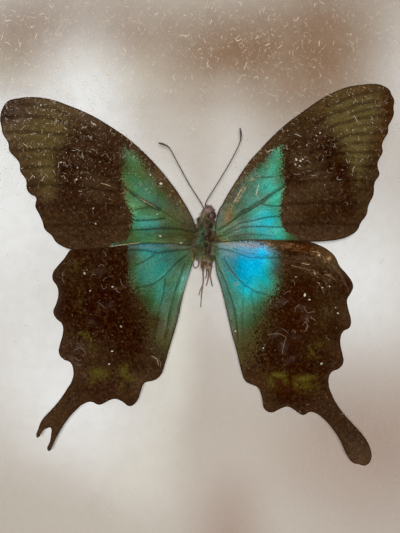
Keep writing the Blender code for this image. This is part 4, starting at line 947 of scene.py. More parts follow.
def wing_cutter(node):
    """Copy a wing's solid, keep its upper side, lay it flat and draw it up into a prism."""
    bpy.ops.object.select_all(action="DESELECT")
    cutter = node.copy()
    cutter.data = node.data.copy()
    bpy.context.scene.collection.objects.link(cutter)
    edit_all(cutter)
    bpy.ops.mesh.remove_doubles(threshold=0.001 * MM)
    leave_edit()
    pick_faces(cutter, lambda face: face.normal.z < 0.5)
    bpy.ops.mesh.delete(type="FACE")
    bpy.ops.mesh.select_all(action="SELECT")
    bpy.ops.transform.resize(value=(1, 1, 0), center_override=(0, 0, 0))
    bpy.ops.mesh.extrude_region_move(TRANSFORM_OT_translate={"value": (0, 0, 2 * MM)})
    bpy.ops.mesh.select_all(action="SELECT")
    bpy.ops.mesh.normals_make_consistent(inside=False)
    leave_edit()
    return cutter


def cut_net(node):
    """Lay a square net over the wing's place and keep what the cutter holds."""
    cutter = wing_cutter(node)
    low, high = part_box(node.name)
    size = high - low + Vector((1, 1, 0)) * MM
    middle = (low + high) / 2
    bpy.ops.mesh.primitive_grid_add(
        x_subdivisions=round(size.x / NET_STEP), y_subdivisions=round(size.y / NET_STEP), size=1,
        location=(middle.x, middle.y, 1 * MM),
    )
    net = set_place(bpy.context.object, scale=(size.x, size.y, 1))
    with_modifier(net, "BOOLEAN", operation="INTERSECT", solver="EXACT", object=cutter)
    bpy.data.objects.remove(cutter, do_unlink=True)
    pick_faces(net, lambda face: abs(face.center.z - 1 * MM) > 0.01 * MM)
    bpy.ops.mesh.delete(type="FACE")
    leave_edit()
    return net


print("wing cutter ready")

# %% [markdown]
# ## Marking a net
#
# A net has a point every quarter of a millimetre. At each of them the notes, lines, blots and outlines are
# worked out and stored under a name, where the finish can read them. The veins also raise the net a little.

# %% Mark the nets
def net_spots(net):
    """The places of a net's points, in millimetres from the pin."""
    flat = np.empty(3 * len(net.data.vertices))
    net.data.vertices.foreach_get("co", flat)
    return (flat.reshape(-1, 3) - np.array(PIN)) / MM


def keep_mark(mesh, name, values):
    """Store a value at each point, where a material can read it."""
    mesh.attributes.new(name, "FLOAT", "POINT").data.foreach_set("value", values.astype(np.float32))


def margin_depth(net, spots):
    """How far each point lies from the wing's edge, in millimetres, up to the reach that is worked out."""
    edges = [edge for edge, count in edge_uses(net).items() if count == 1]
    near = np.full(len(spots), FAR)
    for start, end in edges:
        run = spots[end, :2] - spots[start, :2]
        close = np.abs(spots[:, :2] - spots[start, :2]).max(axis=1) < KNOWN_REACH
        along = np.clip((spots[close, :2] - spots[start, :2]) @ run / max(run @ run, 1e-12), 0, 1)
        away = spots[close, :2] - spots[start, :2] - along[:, None] * run
        near[close] = np.minimum(near[close], np.hypot(away[:, 0], away[:, 1]))
    return np.minimum(near, KNOWN_REACH)


def edge_uses(net):
    """How many faces share each edge."""
    uses = {}
    for face in net.data.polygons:
        for key in face.edge_keys:
            uses[key] = uses.get(key, 0) + 1
    return uses


def mark_wing(net, marks, lift):
    """Work out every marking at each point of a net, and raise the net to the wing's curve."""
    spots = net_spots(net)
    flat = spots[:, :2]
    mesh = net.data
    softness = spread_notes(flat, marks["softness"])[0]
    keep_mark(mesh, "patch", np.clip(0.5 + 0.5 * depth_inside(flat, marks["patch"]) / softness, -0.5, 1.5))
    for name, values in zip(("hue", "light", "dull"), spread_notes(flat, marks["tones"])):
        keep_mark(mesh, name, values)
    for name, values in zip(("olive", "dusty", "flecks"), spread_notes(flat, marks["ground"])):
        keep_mark(mesh, name, values)
    for name, kind in (("lunule", "lunules"), ("rub_and_highlight", "rubs_and_highlights"), ("lilac", "lilac"), ("rust", "rust")):
        keep_mark(mesh, name, blot_marks(flat, marks[kind]))
    keep_mark(mesh, "margin", margin_depth(net, spots))
    keep_mark(mesh, "ray", np.arctan2(flat[:, 1], np.abs(flat[:, 0])))
    keep_mark(mesh, "reach", np.hypot(flat[:, 0], flat[:, 1]))
    for kind in ("veins", "scuffs_and_glints"):
        near, side, strength = line_marks(flat, marks[kind])
        keep_mark(mesh, kind + "_near", np.minimum(near, KNOWN_REACH))
        keep_mark(mesh, kind + "_side", np.clip(side, -KNOWN_REACH, KNOWN_REACH))
        keep_mark(mesh, kind + "_strength", strength)
        if kind == "veins":
            relief = VEIN_RELIEF * strength * np.exp(-(near / VEIN_HALF_WIDTH) ** 2)
    heights = lift + wing_height(flat[:, 0], flat[:, 1]) + relief
    places = np.column_stack([flat, heights]) * MM + np.array(PIN)
    mesh.vertices.foreach_set("co", places.ravel())


print("marking helpers ready")

# %% [markdown]
# ## The four wings
#
# The forewings lie over the hindwings on a set specimen, so they are lifted a little above them.

# %% Make the four wings
WINGS = {
    "forewing_left": (FOREWING_LEFT, FOREWING_LIFT),
    "forewing_right": (FOREWING_RIGHT, FOREWING_LIFT),
    "hindwing_left": (HINDWING_LEFT, 0.0),
    "hindwing_right": (HINDWING_RIGHT, 0.0),
}
wing_nets = {}
for name, (marks, lift) in WINGS.items():
    net = cut_net(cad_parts[name])
    mark_wing(net, marks, lift)
    wing_nets[name] = net
    print(name, "net:", len(net.data.vertices), "points")

# %% [markdown]
# ## The finish of the wings' upper side: the patch
#
# Scales lie like roof tiles, about eight to the millimetre. From a step away they show as a fine speckle, so
# noise at three sizes breaks up every edge and tone. The real patch has no pigment: its colour comes from thin
# layers and changes with the angle. Here a ramp turns the notes of hue into the colour seen from above, and the
# notes of lightness paint in the sheen that the light raises on each wing, strongest on the right.

# %% Bright patch
LINE_REACH = 0.5
VEIN_WIDTH, SCUFF_AND_GLINT_WIDTH, LOWER_VEIN_WIDTH = 0.22, 0.14, 0.24


def line_mask(paint, kind, width):
    """A line of a given half width, cut off where the point isn't really close to a line."""
    across = abs(paint.mark(kind + "_side"))
    close = paint.mark(kind + "_near").step(LINE_REACH, LINE_REACH * 0.7)
    return across.step(width, width * 0.35) * close * paint.mark(kind + "_strength")


upper = Paint("wing_scales_upper", Roughness=0.6)
upper.shader.inputs["Specular IOR Level"].default_value = 0.0
here = upper.place()
clumps = upper.noise(here, 1.1, 3, 0.6)
grain = upper.noise(here, 2.6, 3, 0.75)
fine = upper.noise(here, 4.8, 2, 0.6)
fan = upper.node("ShaderNodeCombineXYZ", inputs={0: upper.mark("ray") * 22.0, 1: upper.mark("reach") * 0.35})
streaks = upper.noise(fan, 1.0, 3, 0.6)

scatter = (fine - 0.5) * 1.2 + (grain - 0.5) * 1.6
patch = (upper.mark("patch") + scatter * 1.3).step(0.36, 0.64)
hue = upper.mark("hue") + (clumps - 0.5) * 0.10 + (grain - 0.5) * 0.05 + (streaks - 0.5) * 0.16
bright = upper.ramp(hue, [
    (0.0, shade(72, 62, 36)), (0.12, shade(66, 78, 46)), (0.26, shade(54, 88, 52)), (0.42, shade(55, 100, 72)),
    (0.55, shade(46, 115, 98)), (0.68, shade(36, 127, 114)), (0.84, shade(22, 146, 154)), (1.0, shade(1, 150, 190)),
])
bright = upper.mix(upper.mark("dull"), bright, shade(108, 104, 98))
bright = upper.mix(upper.mark("lilac") * 0.8, bright, shade(132, 116, 122))
# The lightness notes carry the sheen that the light raises, painted in.
lightness_and_painted_sheen = upper.mark("light") * (0.55 + clumps * 0.3 + streaks * 0.6)
bright = upper.node("ShaderNodeVectorMath", {"operation": "SCALE"}, {0: bright, "Scale": lightness_and_painted_sheen})
tooth = upper.node("ShaderNodeVectorMath", {"operation": "MULTIPLY_ADD"}, {
    0: (grain - 0.5) * 5.0 + (fine - 0.5) * 5.6, 1: (0.40, 0.33, 0.33), 2: (1.0, 1.0, 1.0),
})
bright = upper.node("ShaderNodeVectorMath", {"operation": "MULTIPLY"}, {0: bright, 1: tooth})
print("patch:", len(upper.tree.nodes), "nodes")

# %% [markdown]
# ## The dark ground
#
# The ground is velvet brown, with olive, rusty, dusty and lilac scales among the dark ones. The speckle is added
# to each mark before the colours are mixed, so a mark shows as more and more single scales and not as a veil.
# Pale flecks sit in the cells of a Voronoi pattern, and the random colour of a cell says whether it has one.

# %% Dark ground
ground = upper.ramp(grain * 0.3 + clumps * 0.45 + streaks * 0.25, [
    (0.36, shade(30, 9, 2)), (0.5, shade(41, 16, 5)), (0.66, shade(58, 31, 16)),
])
margin = upper.mark("margin")
speckle = (clumps - 0.5) * 1.2 + (grain - 0.5) * 2.6 + (fine - 0.5) * 2.2
dusty = upper.mark("dusty") * (speckle * 0.7 + 1.0) + (clumps - 0.5) * 0.5
dusty = dusty | (margin + (clumps - 0.5) * 1.2).step(1.3, 0.1) * 0.4
ground = upper.mix(dusty * 0.8, ground, shade(89, 68, 48))
band = upper.mark("veins_near").step(0.85, 0.1) * upper.mark("veins_strength")
ground = upper.mix(upper.mark("olive") * (speckle + (streaks - 0.5) * 0.5 + 1.0) * 0.9, ground, shade(100, 86, 52))
ground = upper.mix(upper.mark("rust"), ground, shade(88, 48, 14))
ground = upper.mix(upper.mark("lilac") * (speckle * 0.8 + 1.0) * 0.5, ground, shade(106, 92, 82))
lunule = (upper.mark("lunule") * 1.1 + scatter * 1.1 + (clumps - 0.5) * 0.6).step(0.05, 1.15)
ground = upper.mix(lunule * 0.9, ground, shade(94, 86, 34))
ground = upper.mix(band * 0.5, ground, shade(34, 18, 6))
chance_at = upper.node("ShaderNodeTexNoise", inputs={"Vector": here, "Scale": 1.7, "Detail": 1.0}, output=1)
wobble = upper.node("ShaderNodeVectorMath", {"operation": "MULTIPLY_ADD"}, {0: chance_at, 1: (0.9,) * 3, 2: here})
speck_settings = {"feature": "F1", "voronoi_dimensions": "2D"}
speck_inputs = {"Vector": wobble, "Scale": 1.25}
speck_away = upper.node("ShaderNodeTexVoronoi", speck_settings, speck_inputs, output=0)
speck_colour = upper.node("ShaderNodeTexVoronoi", speck_settings, speck_inputs, output=1)
chance = upper.node("ShaderNodeSeparateColor", inputs={0: speck_colour}, output=0)
flecks = (upper.mark("flecks") * 0.5 - chance).step(-0.02, 0.1) * speck_away.step(0.30, 0.12) * (1.0 - patch * 0.7)
colour = upper.mix(patch, ground, bright)
colour = upper.mix(flecks * (0.06 + fine * 0.22), colour, shade(146, 122, 102))
print("with the ground:", len(upper.tree.nodes), "nodes")

# %% [markdown]
# ## Wear, painted glints, veins and gloss
#
# Where scales are rubbed or scratched off, the pale membrane shows, and along some scratches and rubbed spots
# pale glints are painted in as highlights. Veins are dark lines across the patch. The patch gets a little metal
# and less roughness, and the relief of the scales only bends the light.

# %% Wear, painted glints, veins and gloss
# Rubbed spots show the pale membrane; a few of them are painted highlights.
rub_and_highlight = (upper.mark("rub_and_highlight") + (grain - 0.5) * 1.6 + (clumps - 0.5) * 1.0).step(0.2, 0.9)
colour = upper.mix(rub_and_highlight * 0.75, colour, shade(142, 110, 78))
vein = line_mask(upper, "veins", VEIN_WIDTH)
colour = upper.mix(vein * patch * 0.68, colour, shade(34, 36, 22))
# Scuffs show pale membrane, with painted glints along them.
scuff_and_glint = line_mask(upper, "scuffs_and_glints", SCUFF_AND_GLINT_WIDTH) * (0.4 + (grain + fine * 0.6).step(0.6, 0.95) * 0.7)
colour = upper.mix(scuff_and_glint, colour, shade(224, 184, 142))
colour = upper.mix(margin.step(0.42, 0.08) * 0.6, colour, shade(34, 18, 10))
upper.feed("Base Color", colour)
upper.feed("Metallic", patch * 0.30)
upper.feed("Roughness", 0.62 - patch * 0.15 - scuff_and_glint * 0.3 + (grain - 0.5) * 0.2)
upper.feed("Normal", upper.bump(grain * 0.6 + fine * 0.5 + vein * 0.6, 0.5, 0.07))
print("upper wing finish:", len(upper.tree.nodes), "nodes")

# %% [markdown]
# ## The finish of the undersides
#
# Seen from below, swallowtail wings are a duller brown, dusted with pale scales and with a row of pale crescents
# before the margin. The photograph doesn't show this side, so it is kept plain and quiet.

# %% Lower wing finish
lower = Paint("wing_scales_lower", Roughness=0.72)
here = lower.place()
clumps = lower.noise(here, 1.2, 3, 0.6)
grain = lower.noise(here, 4.0, 3, 0.7)
under = lower.ramp(grain, [(0.3, shade(46, 32, 22)), (0.7, shade(92, 72, 52))])
under = lower.mix((lower.mark("dusty") + clumps - 0.5).step(0.1, 0.9) * 0.5, under, shade(116, 98, 76))
under = lower.mix(lower.mark("lunule").step(0.15, 0.6), under, shade(176, 132, 92))
under = lower.mix(line_mask(lower, "veins", LOWER_VEIN_WIDTH) * 0.6, under, shade(32, 22, 14))
lower.feed("Base Color", under)
lower.feed("Normal", lower.bump(grain, 0.4, 0.05))

for name, net in wing_nets.items():
    coat(net, upper, lower)
    with_modifier(
        net, "SOLIDIFY", thickness=SKIN, offset=0.0, use_even_offset=False, material_offset=1,
        material_offset_rim=0,
    )
    take(net)
    bpy.ops.object.shade_smooth_by_angle(angle=math.radians(50))
    declare(net, name + "_skin", name.split("_")[0], name)

# %% [markdown]
# ## One way to strew small things
#
# Hairs, dust and fluff are each modelled once and then copied by the thousand. A helper takes the model's points
# and faces, and a place and three axes for each copy, and makes one joined mesh, which an export keeps whole.

# %% Strewing helper
def strew(name, model, places, axes, **marks):
    """Copy a small model to many places as one mesh; marks hold one value for each copy."""
    shape = np.array([vertex.co for vertex in model.data.vertices])
    faces = [list(face.vertices) for face in model.data.polygons]
    copies, count = len(places), len(shape)
    points = np.einsum("nij,vj->nvi", axes, shape) + places[:, None, :]
    corners = np.concatenate([np.array(face) for face in faces])
    sizes = np.array([len(face) for face in faces])
    mesh = bpy.data.meshes.new(name)
    mesh.vertices.add(copies * count)
    mesh.vertices.foreach_set("co", points.ravel())
    loops = (corners[None, :] + count * np.arange(copies)[:, None]).ravel()
    mesh.loops.add(len(loops))
    mesh.loops.foreach_set("vertex_index", loops)
    starts = np.concatenate([[0], np.cumsum(np.tile(sizes, copies))[:-1]])
    mesh.polygons.add(len(starts))
    mesh.polygons.foreach_set("loop_start", starts)
    mesh.update(calc_edges=True)
    mesh.validate()
    for mark, values in marks.items():
        keep_mark(mesh, mark, np.repeat(np.asarray(values), count))
    piece = bpy.data.objects.new(name, mesh)
    bpy.context.scene.collection.objects.link(piece)
    mesh.shade_smooth()
    return piece


def unit(vectors):
    """Make vectors one long."""
    return vectors / np.maximum(np.linalg.norm(vectors, axis=-1, keepdims=True), 1e-9)


def growing_axes(along, lean, length, width):
    """Axes that stand a model up along one direction, with its X side turned towards another."""
    along = unit(along)
    side = unit(lean - (lean * along).sum(axis=1, keepdims=True) * along)
    across = np.cross(along, side)
    return np.stack([side * width[:, None], across * width[:, None], along * length[:, None]], axis=2)


print("strewing helper ready")

# %% [markdown]
# ## One hair and one wire
#
# A hair is a three-sided spike, cut at two heights and bent a little at each cut. It is one unit long and one
# unit thick, so a copy's axes give its length and its thickness. Feelers, legs and fluff are drawn instead as a
# line with a thickness at each point, which is then made a mesh.

# %% Model a hair and draw wires
def model_hair(bend):
    """A three-sided spike that bends towards its X side by some degrees at each of two places."""
    bpy.ops.object.select_all(action="DESELECT")
    bpy.ops.mesh.primitive_cone_add(vertices=3, radius1=0.5, radius2=0.1, depth=1, location=(0, 0, 0.5))
    model = set_place(bpy.context.object)
    for height in (0.35, 0.7):
        edit_all(model)
        bpy.ops.mesh.bisect(plane_co=(0, 0, height), plane_no=(0, 0, 1))
        leave_edit()
    for height in (0.35, 0.7):
        pick_faces(model, lambda face: face.center.z > height)
        bpy.ops.transform.rotate(value=math.radians(-bend), orient_axis="Y", center_override=(0, 0, height))
        leave_edit()
    return model


def draw_wire(name, points, spacing, sides=1):
    """A round wire through a few points, each x, y, z and radius in millimetres from the pin."""
    line = smooth_line(points, spacing)
    curve = bpy.data.curves.new(name, "CURVE")
    curve.dimensions = "3D"
    curve.bevel_depth = MM
    curve.bevel_resolution = sides
    curve.use_fill_caps = True
    spline = curve.splines.new("POLY")
    spline.points.add(len(line) - 1)
    for knot, (x, y, z, radius) in zip(spline.points, line):
        knot.co = (*from_pin(x, y, z), 1.0)
        knot.radius = radius
    wire = bpy.data.objects.new(name, curve)
    bpy.context.scene.collection.objects.link(wire)
    take(wire)
    bpy.ops.object.convert(target="MESH")
    wire = bpy.context.object
    edit_all(wire)
    bpy.ops.mesh.remove_doubles(threshold=0.002 * MM)
    bpy.ops.mesh.select_all(action="SELECT")
    bpy.ops.mesh.normals_make_consistent(inside=False)
    leave_edit()
    return wire


HAIR_BEND = 16
hair_model = model_hair(HAIR_BEND)
print("hair:", len(hair_model.data.polygons), "faces, reaches", round(hair_model.dimensions.x, 2), "sideways")

# %% [markdown]
# ## The body
#
# The thorax is packed with the flight muscles and has no abdomen left: it ends in a torn, hollow stump. On the
# solid's own shape, lumps are set for the neck, the shoulders and the hinges of the wings, and a voxel remesh
# melts them into one skin, as a modeller would smooth clay.

# %% Thorax and head forms
def add_ball(centre, half, turn=(0, 0, 0)):
    """An egg with its middle and half sizes in millimetres from the pin."""
    bpy.ops.object.select_all(action="DESELECT")
    bpy.ops.mesh.primitive_uv_sphere_add(segments=24, ring_count=14, radius=MM, location=from_pin(*centre))
    return set_place(bpy.context.object, turn=[math.radians(angle) for angle in turn], scale=half)


def copy_solid(name):
    """A welded copy of a solid."""
    bpy.ops.object.select_all(action="DESELECT")
    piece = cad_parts[name].copy()
    piece.data = piece.data.copy()
    bpy.context.scene.collection.objects.link(piece)
    edit_all(piece)
    bpy.ops.mesh.remove_doubles(threshold=0.001 * MM)
    leave_edit()
    return piece


def melt(piece, voxel, rounds):
    """Melt joined forms into one even skin, and smooth it."""
    with_modifier(piece, "REMESH", mode="VOXEL", voxel_size=voxel * MM)
    with_modifier(piece, "SMOOTH", factor=0.5, iterations=rounds)
    take(piece)
    bpy.ops.object.shade_smooth()


THORAX_LUMPS = [
    ((-1.25, 4.55, -0.3), (0.85, 0.95, 0.8), (0, 0, 0)),
    ((-2.5, 2.9, 0.1), (0.6, 0.6, 0.4), (0, 0, 0)),
    ((0.35, 4.3, -0.6), (0.8, 0.7, 0.8), (0, 0, 0)),
    ((-0.55, 5.8, -0.7), (0.7, 0.9, 0.7), (0, 0, 0)),
    ((1.45, 4.0, -0.55), (0.85, 0.9, 0.8), (0, 0, 0)),
    ((1.65, 3.0, -0.1), (0.75, 1.3, 0.75), (0, 0, 0)),
    ((-1.95, 1.6, 0.0), (0.55, 1.9, 0.5), (0, 14, -6)),
    ((1.85, 1.8, 0.0), (0.5, 1.9, 0.5), (0, -14, 6)),
    ((1.8, 0.1, 0.3), (0.5, 1.1, 0.5), (0, 0, 8)),
    ((-1.9, -2.4, -0.3), (0.6, 1.9, 0.5), (0, 14, 6)),
    ((1.8, -2.3, -0.3), (0.5, 1.8, 0.5), (0, -14, -6)),
    ((-1.1, -4.9, -0.9), (0.95, 0.9, 0.8), (0, 0, 15)),
    ((1.2, -5.2, -1.0), (0.85, 1.2, 0.8), (0, 0, 8)),
    ((0.1, -6.0, -1.3), (1.5, 1.1, 1.0), (0, 0, 0)),
]
thorax = join([copy_solid("thorax")] + [add_ball(*lump) for lump in THORAX_LUMPS])
melt(thorax, 0.13, 3)

HEAD_LUMPS = [
    ((0.65, 6.4, -0.85), (1.4, 1.45, 1.25), (0, 0, 0)),
    ((0.35, 7.2, -0.65), (0.75, 0.5, 0.6), (0, 0, 0)),
    ((0.25, 7.75, -1.0), (0.28, 0.55, 0.32), (0, 0, 16)),
    ((0.95, 7.75, -1.0), (0.28, 0.5, 0.32), (0, 0, -14)),
]
head_form = join([add_ball(*lump) for lump in HEAD_LUMPS])
melt(head_form, 0.1, 3)
print("thorax", len(thorax.data.polygons), "faces, head", len(head_form.data.polygons), "faces")

# %% [markdown]
# ## The eyes
#
# Each compound eye is a dark bead, a little flattened against the head, with a fine raised rim behind it that
# the photograph shows as a pale line.

# %% Eyes and their rims
EYE_BEADS = [
    ((1.4, 5.7, -0.5), (1.2, 1.3, 1.0), (0, 15, 0)),
    ((-0.1, 5.9, -1.4), (0.88, 1.05, 0.93), (0, -20, 0)),
]
EYE_RIM = [
    (-0.62, 7.1, -0.35, 0.09), (-0.38, 6.2, -0.02, 0.1), (0.25, 5.2, 0.05, 0.1), (0.9, 4.45, -0.1, 0.09),
    (1.35, 4.35, -0.4, 0.06),
]
eyes = join([add_ball(*bead) for bead in EYE_BEADS])
with_modifier(eyes, "SUBSURF", levels=1, render_levels=1)
take(eyes)
bpy.ops.object.shade_smooth()
eye_rim = draw_wire("eye_rim", EYE_RIM, 0.25)
print("eyes", len(eyes.data.polygons), "faces")

# %% [markdown]
# ## The tones of the body
#
# The fur is olive round the neck. Light and shade are painted into the tones too: a bright bluish-green streak
# on the left shoulder where the light catches the fur, painted shade along the right of the back, and a greyish
# pink highlight painted on the face. The tones are given by place once, and both the skin and every hair on it
# take theirs from them.

# %% Body tones
BODY_TONES_AND_LIGHT = [
    (-1.8, 4.6, 0.57, 0.89), (-1.2, 5, 0.50, 1.10), (-0.6, 5.2, 0.50, 2.19), (-1.1, 5.9, 0.48, 1.95),
    (-0.5, 6.2, 0.50, 1.39), (-1.7, 3.9, 0.48, 1.00), (0.2, 4.3, 0.80, 0.56), (-0.6, 4, 0.43, 1.14),
    (0.6, 3.6, 0.57, 0.70), (-1.4, 2.9, 0.90, 0.47), (-1.35, 2, 0.97, 1.68), (-1.5, 1, 1.00, 1.95),
    (-1.6, 0, 0.80, 1.25), (-1.7, -0.8, 0.93, 2.19), (-1.6, -1.7, 0.83, 1.33), (-0.9, 1.2, 0.88, 0.33),
    (-0.9, -0.6, 0.88, 0.78), (-2.1, 3, 0.41, 1.45), (-2.2, 1.6, 0.41, 0.31), (-2.2, 0.4, 0.53, 0.45),
    (-2.2, -2, 0.50, 0.71), (-2.8, 2.8, 0.44, 0.50), (-2.7, 1, 0.37, 0.50), (-2.9, -0.6, 0.28, 0.90),
    (-3, -2.2, 0.40, 2.18), (-3, -4, 0.54, 1.21), (-2.4, -3.2, 0.75, 1.07), (-0.5, 2.7, 0.41, 1.24),
    (-0.3, 1.4, 0.90, 0.70), (0.2, 2.2, 0.74, 0.81), (0.1, 0.2, 0.00, 0.63), (0, -1.2, 0.60, 0.66),
    (0.5, -1.9, 0.60, 0.22), (-0.6, -2.5, 0.57, 0.79), (-1.2, -3.3, 0.55, 1.37), (-1.6, -4.2, 0.75, 0.93),
    (-0.8, -4.3, 0.56, 1.31), (0.2, -3.6, 0.60, 0.24), (1.1, 1.6, 0.08, 1.08), (1.2, 0.6, 0.01, 1.47),
    (1, -2.2, 0.05, 1.44), (0.7, -3.6, 0.00, 0.93), (1.1, -0.8, 0.00, 1.06), (1.7, 0.6, 0.22, 2.19),
    (2.2, -0.4, 0.17, 2.18), (1.4, 2.8, 0.16, 0.15), (1.9, 2.4, 0.89, 2.19), (0.8, 2.6, 0.60, 0.51),
    (1.4, -3.2, 0.57, 0.97), (1.8, -1.4, 0.78, 0.45), (2.2, -2.4, 0.81, 1.46), (2, -4, 0.89, 2.13),
    (1.4, -4.6, 0.67, 1.04), (2.6, 1.4, 0.84, 0.45), (2.7, -1.4, 0.20, 1.66), (0.1, 7.15, 0.40, 1.72),
    (0.75, 6.7, 0.40, 2.03), (-0.5, 7.2, 0.40, 1.71), (0.7, 7.7, 0.40, 2.14), (1.6, 7.3, 0.40, 1.35),
    (-0.4, 6.6, 0.41, 1.61), (0.5, 6.2, 0.43, 0.81), (1, 5, 0.00, 0.15), (1.3, 4.3, 0.49, 0.75),
    (2, 7, 0.24, 1.33), (-1.4, -5.6, 0.45, 2.17), (-0.6, -5.3, 0.57, 1.06), (0.4, -5.3, 0.59, 1.67),
    (1, -5.9, 0.57, 1.37), (1.5, -6.8, 0.00, 0.37), (-0.6, -6.1, 0.17, 1.03), (0.2, -6.2, 0.21, 0.95),
    (0.7, -6.8, 0.22, 1.46), (-0.4, -7.2, 0.28, 1.19), (0.56, -7.6, 0.45, 2.06), (1.1, -7.2, 0.40, 2.19),
    (-0.9, -8, 0.22, 1.55),
]


def tone_body(piece):
    """Keep the tones at every point of a piece of the body."""
    hues, lights = spread_notes(net_spots(piece)[:, :2], BODY_TONES_AND_LIGHT, 0.25)
    keep_mark(piece.data, "hue", hues)
    keep_mark(piece.data, "light", lights)


body = Paint("body_scales", Roughness=0.75)
body.shader.inputs["Specular IOR Level"].default_value = 0.1
here = body.place()
grain = body.noise(here, 3.4, 3, 0.7)
clumps = body.noise(here, 1.6, 3, 0.6)
colour = body.ramp(body.mark("hue") + (clumps - 0.5) * 0.2, [
    (0.0, shade(52, 43, 22)), (0.2, shade(86, 66, 43)), (0.4, shade(116, 100, 94)), (0.6, shade(96, 90, 53)),
    (0.8, shade(84, 96, 70)), (1.0, shade(66, 106, 88)),
])
# The lightness holds painted highlights and painted shade.
lightness_and_painted_sheen = body.mark("light") * (((clumps - 0.5) * 2.2 + (grain - 0.5) * 1.6 + 1.0) | 0.2)
colour = body.node("ShaderNodeVectorMath", {"operation": "SCALE"}, {0: colour, "Scale": lightness_and_painted_sheen})
body.feed("Base Color", colour)
body.feed("Normal", body.bump(grain + clumps, 0.6, 0.12))

for piece in (thorax, head_form):
    tone_body(piece)
    coat(piece, body)
declare(thorax, "thorax_skin", "thorax", "thorax")
declare(head_form, "head_skin", "head", "head")

# %% [markdown]
# ## The finish of the eyes
#
# A dried eye is dull brown with darker patches, and its thousands of facets show only as a fine grain. Cells of
# a Voronoi pattern, a tenth of a millimetre wide, lift its surface. The rim behind it is pale, bare horn.

# %% Eye finish
eye_paint = Paint("compound_eye", Roughness=0.5)
facets = eye_paint.node(
    "ShaderNodeTexVoronoi", {"feature": "F1"}, {"Vector": eye_paint.place(), "Scale": 9.0}, output="Distance"
)
patches = eye_paint.noise(eye_paint.place(), 1.6, 2)
eye_paint.feed("Base Color", eye_paint.ramp(patches, [(0.35, shade(54, 36, 30)), (0.7, shade(84, 62, 56))]))
eye_paint.feed("Normal", eye_paint.bump(facets, 0.5, 0.03))
rim_paint = Paint("pale_rim", Roughness=0.7)
rim_tone = rim_paint.noise(rim_paint.place(), 4.0, 2)
rim_paint.feed("Base Color", rim_paint.ramp(rim_tone, [(0.3, shade(120, 106, 74)), (0.7, shade(170, 156, 122))]))

coat(eyes, eye_paint)
coat(eye_rim, rim_paint)
declare(eyes, "eyes", "head")
declare(eye_rim, "eye_rim", "head")

# %% [markdown]
# ## The torn rim of the stump
#
# Where the abdomen broke off, the wall of the body stands up as a pale, ragged edge. It is one wire, thick and
# thin by turns, laid along the tear, with the body's own finish in a paler tone.

# %% Rim of the stump
STUMP_RIM = [
    (-2.0, -4.8, -0.6, 0.10), (-1.2, -5.2, -0.2, 0.16), (-0.3, -5.35, 0.0, 0.13), (0.6, -5.5, -0.05, 0.15),
    (1.25, -6.1, -0.3, 0.13), (1.5, -6.9, -0.6, 0.15), (1.45, -7.6, -0.9, 0.08),
]
stump_rim = draw_wire("stump_rim", STUMP_RIM, 0.2)
keep_mark(stump_rim.data, "hue", np.full(len(stump_rim.data.vertices), 0.4))
keep_mark(stump_rim.data, "light", np.full(len(stump_rim.data.vertices), 1.25))
coat(stump_rim, body)
declare(stump_rim, "stump_rim", "thorax")

# %% [markdown]
# ## Fur
#
# Fine hair hides the skin of the thorax and bridges the gap to the wings. It lies backwards, and on the flanks
# it also spreads outwards. The one hair is copied to random places on the skin, weighted by area. Hairs clump,
# so the nearest of some random tufts changes their tone. Every draw comes from a seeded generator, so the fur
# falls the same way each time.

# %% Fur helpers
TUFT_COUNT = 240
HAIR_STRAY, LEAN_STRAY, TONE_STRAY = 0.28, 0.5, 0.05
draw = np.random.default_rng(7)
TUFTS = draw.uniform((-3.6, -8.4), (3.6, 8.4), (TUFT_COUNT, 2))
TUFT_TONES = np.column_stack([draw.normal(0, 0.06, len(TUFTS)), draw.lognormal(-0.08, 0.42, len(TUFTS))])


def places_on(piece, count):
    """Random places on a piece's surface, with the direction that it faces there."""
    mesh = piece.data
    mesh.calc_loop_triangles()
    corners = np.array([triangle.vertices for triangle in mesh.loop_triangles])
    points = np.array([vertex.co for vertex in mesh.vertices])[corners]
    facing = np.cross(points[:, 1] - points[:, 0], points[:, 2] - points[:, 0])
    area = np.linalg.norm(facing, axis=1)
    chosen = draw.choice(len(corners), count, p=area / area.sum())
    first, second = draw.random((2, count))
    fold = first + second > 1
    first[fold], second[fold] = 1 - first[fold], 1 - second[fold]
    start, one, two = points[chosen].transpose(1, 0, 2)
    spots = start + first[:, None] * (one - start) + second[:, None] * (two - start)
    return spots, unit(facing[chosen])


def grow_fur(name, slot, skin, count, lengths, width, lift, back, spread, keep):
    """Cover part of a skin with hairs that lie back and spread outwards, and tone each by its root."""
    roots, facing = places_on(skin, count)
    local = (roots - np.array(PIN)) / MM
    kept = keep(local, facing)
    roots, facing, local = roots[kept], facing[kept], local[kept]
    number = len(roots)
    outward = np.zeros((number, 3))
    outward[:, 0] = np.sign(local[:, 0] + 0.1) * np.abs(facing[:, 0])
    along = facing * lift + np.array([0, -back, 0]) + outward * spread + draw.normal(0, HAIR_STRAY, (number, 3))
    lean = np.array([0, -1.0, -0.6]) + draw.normal(0, LEAN_STRAY, (number, 3))
    length = draw.uniform(*lengths, number) * MM
    axes = growing_axes(along, lean, length, np.full(number, width * MM))
    middle = local[:, :2] + (unit(along) * length[:, None] / MM)[:, :2] * 0.45
    hues, lights = spread_notes(middle, BODY_TONES_AND_LIGHT, 0.25)
    nearest = (((middle[:, None] - TUFTS) * (1, 0.45)) ** 2).sum(axis=2).argmin(axis=1)
    tuft_hue, tuft_light = TUFT_TONES[nearest].T
    hues = np.clip(hues + tuft_hue + draw.normal(0, TONE_STRAY, number), 0, 1)
    lights = lights * tuft_light * draw.uniform(0.7, 1.3, number)
    fur = strew(name, hair_model, roots, axes, hue=hues, light=lights)
    coat(fur, body)
    declare(fur, name, slot)


print("fur helper ready, with", TUFT_COUNT, "tufts")

# %% [markdown]
# ## The coats of fur
#
# The back has short hair, the flanks longer. Long hair from the shoulders lies over the roots of the wings,
# thicker on the left. Fine fibres point back from the stump, and the face has short bristles.

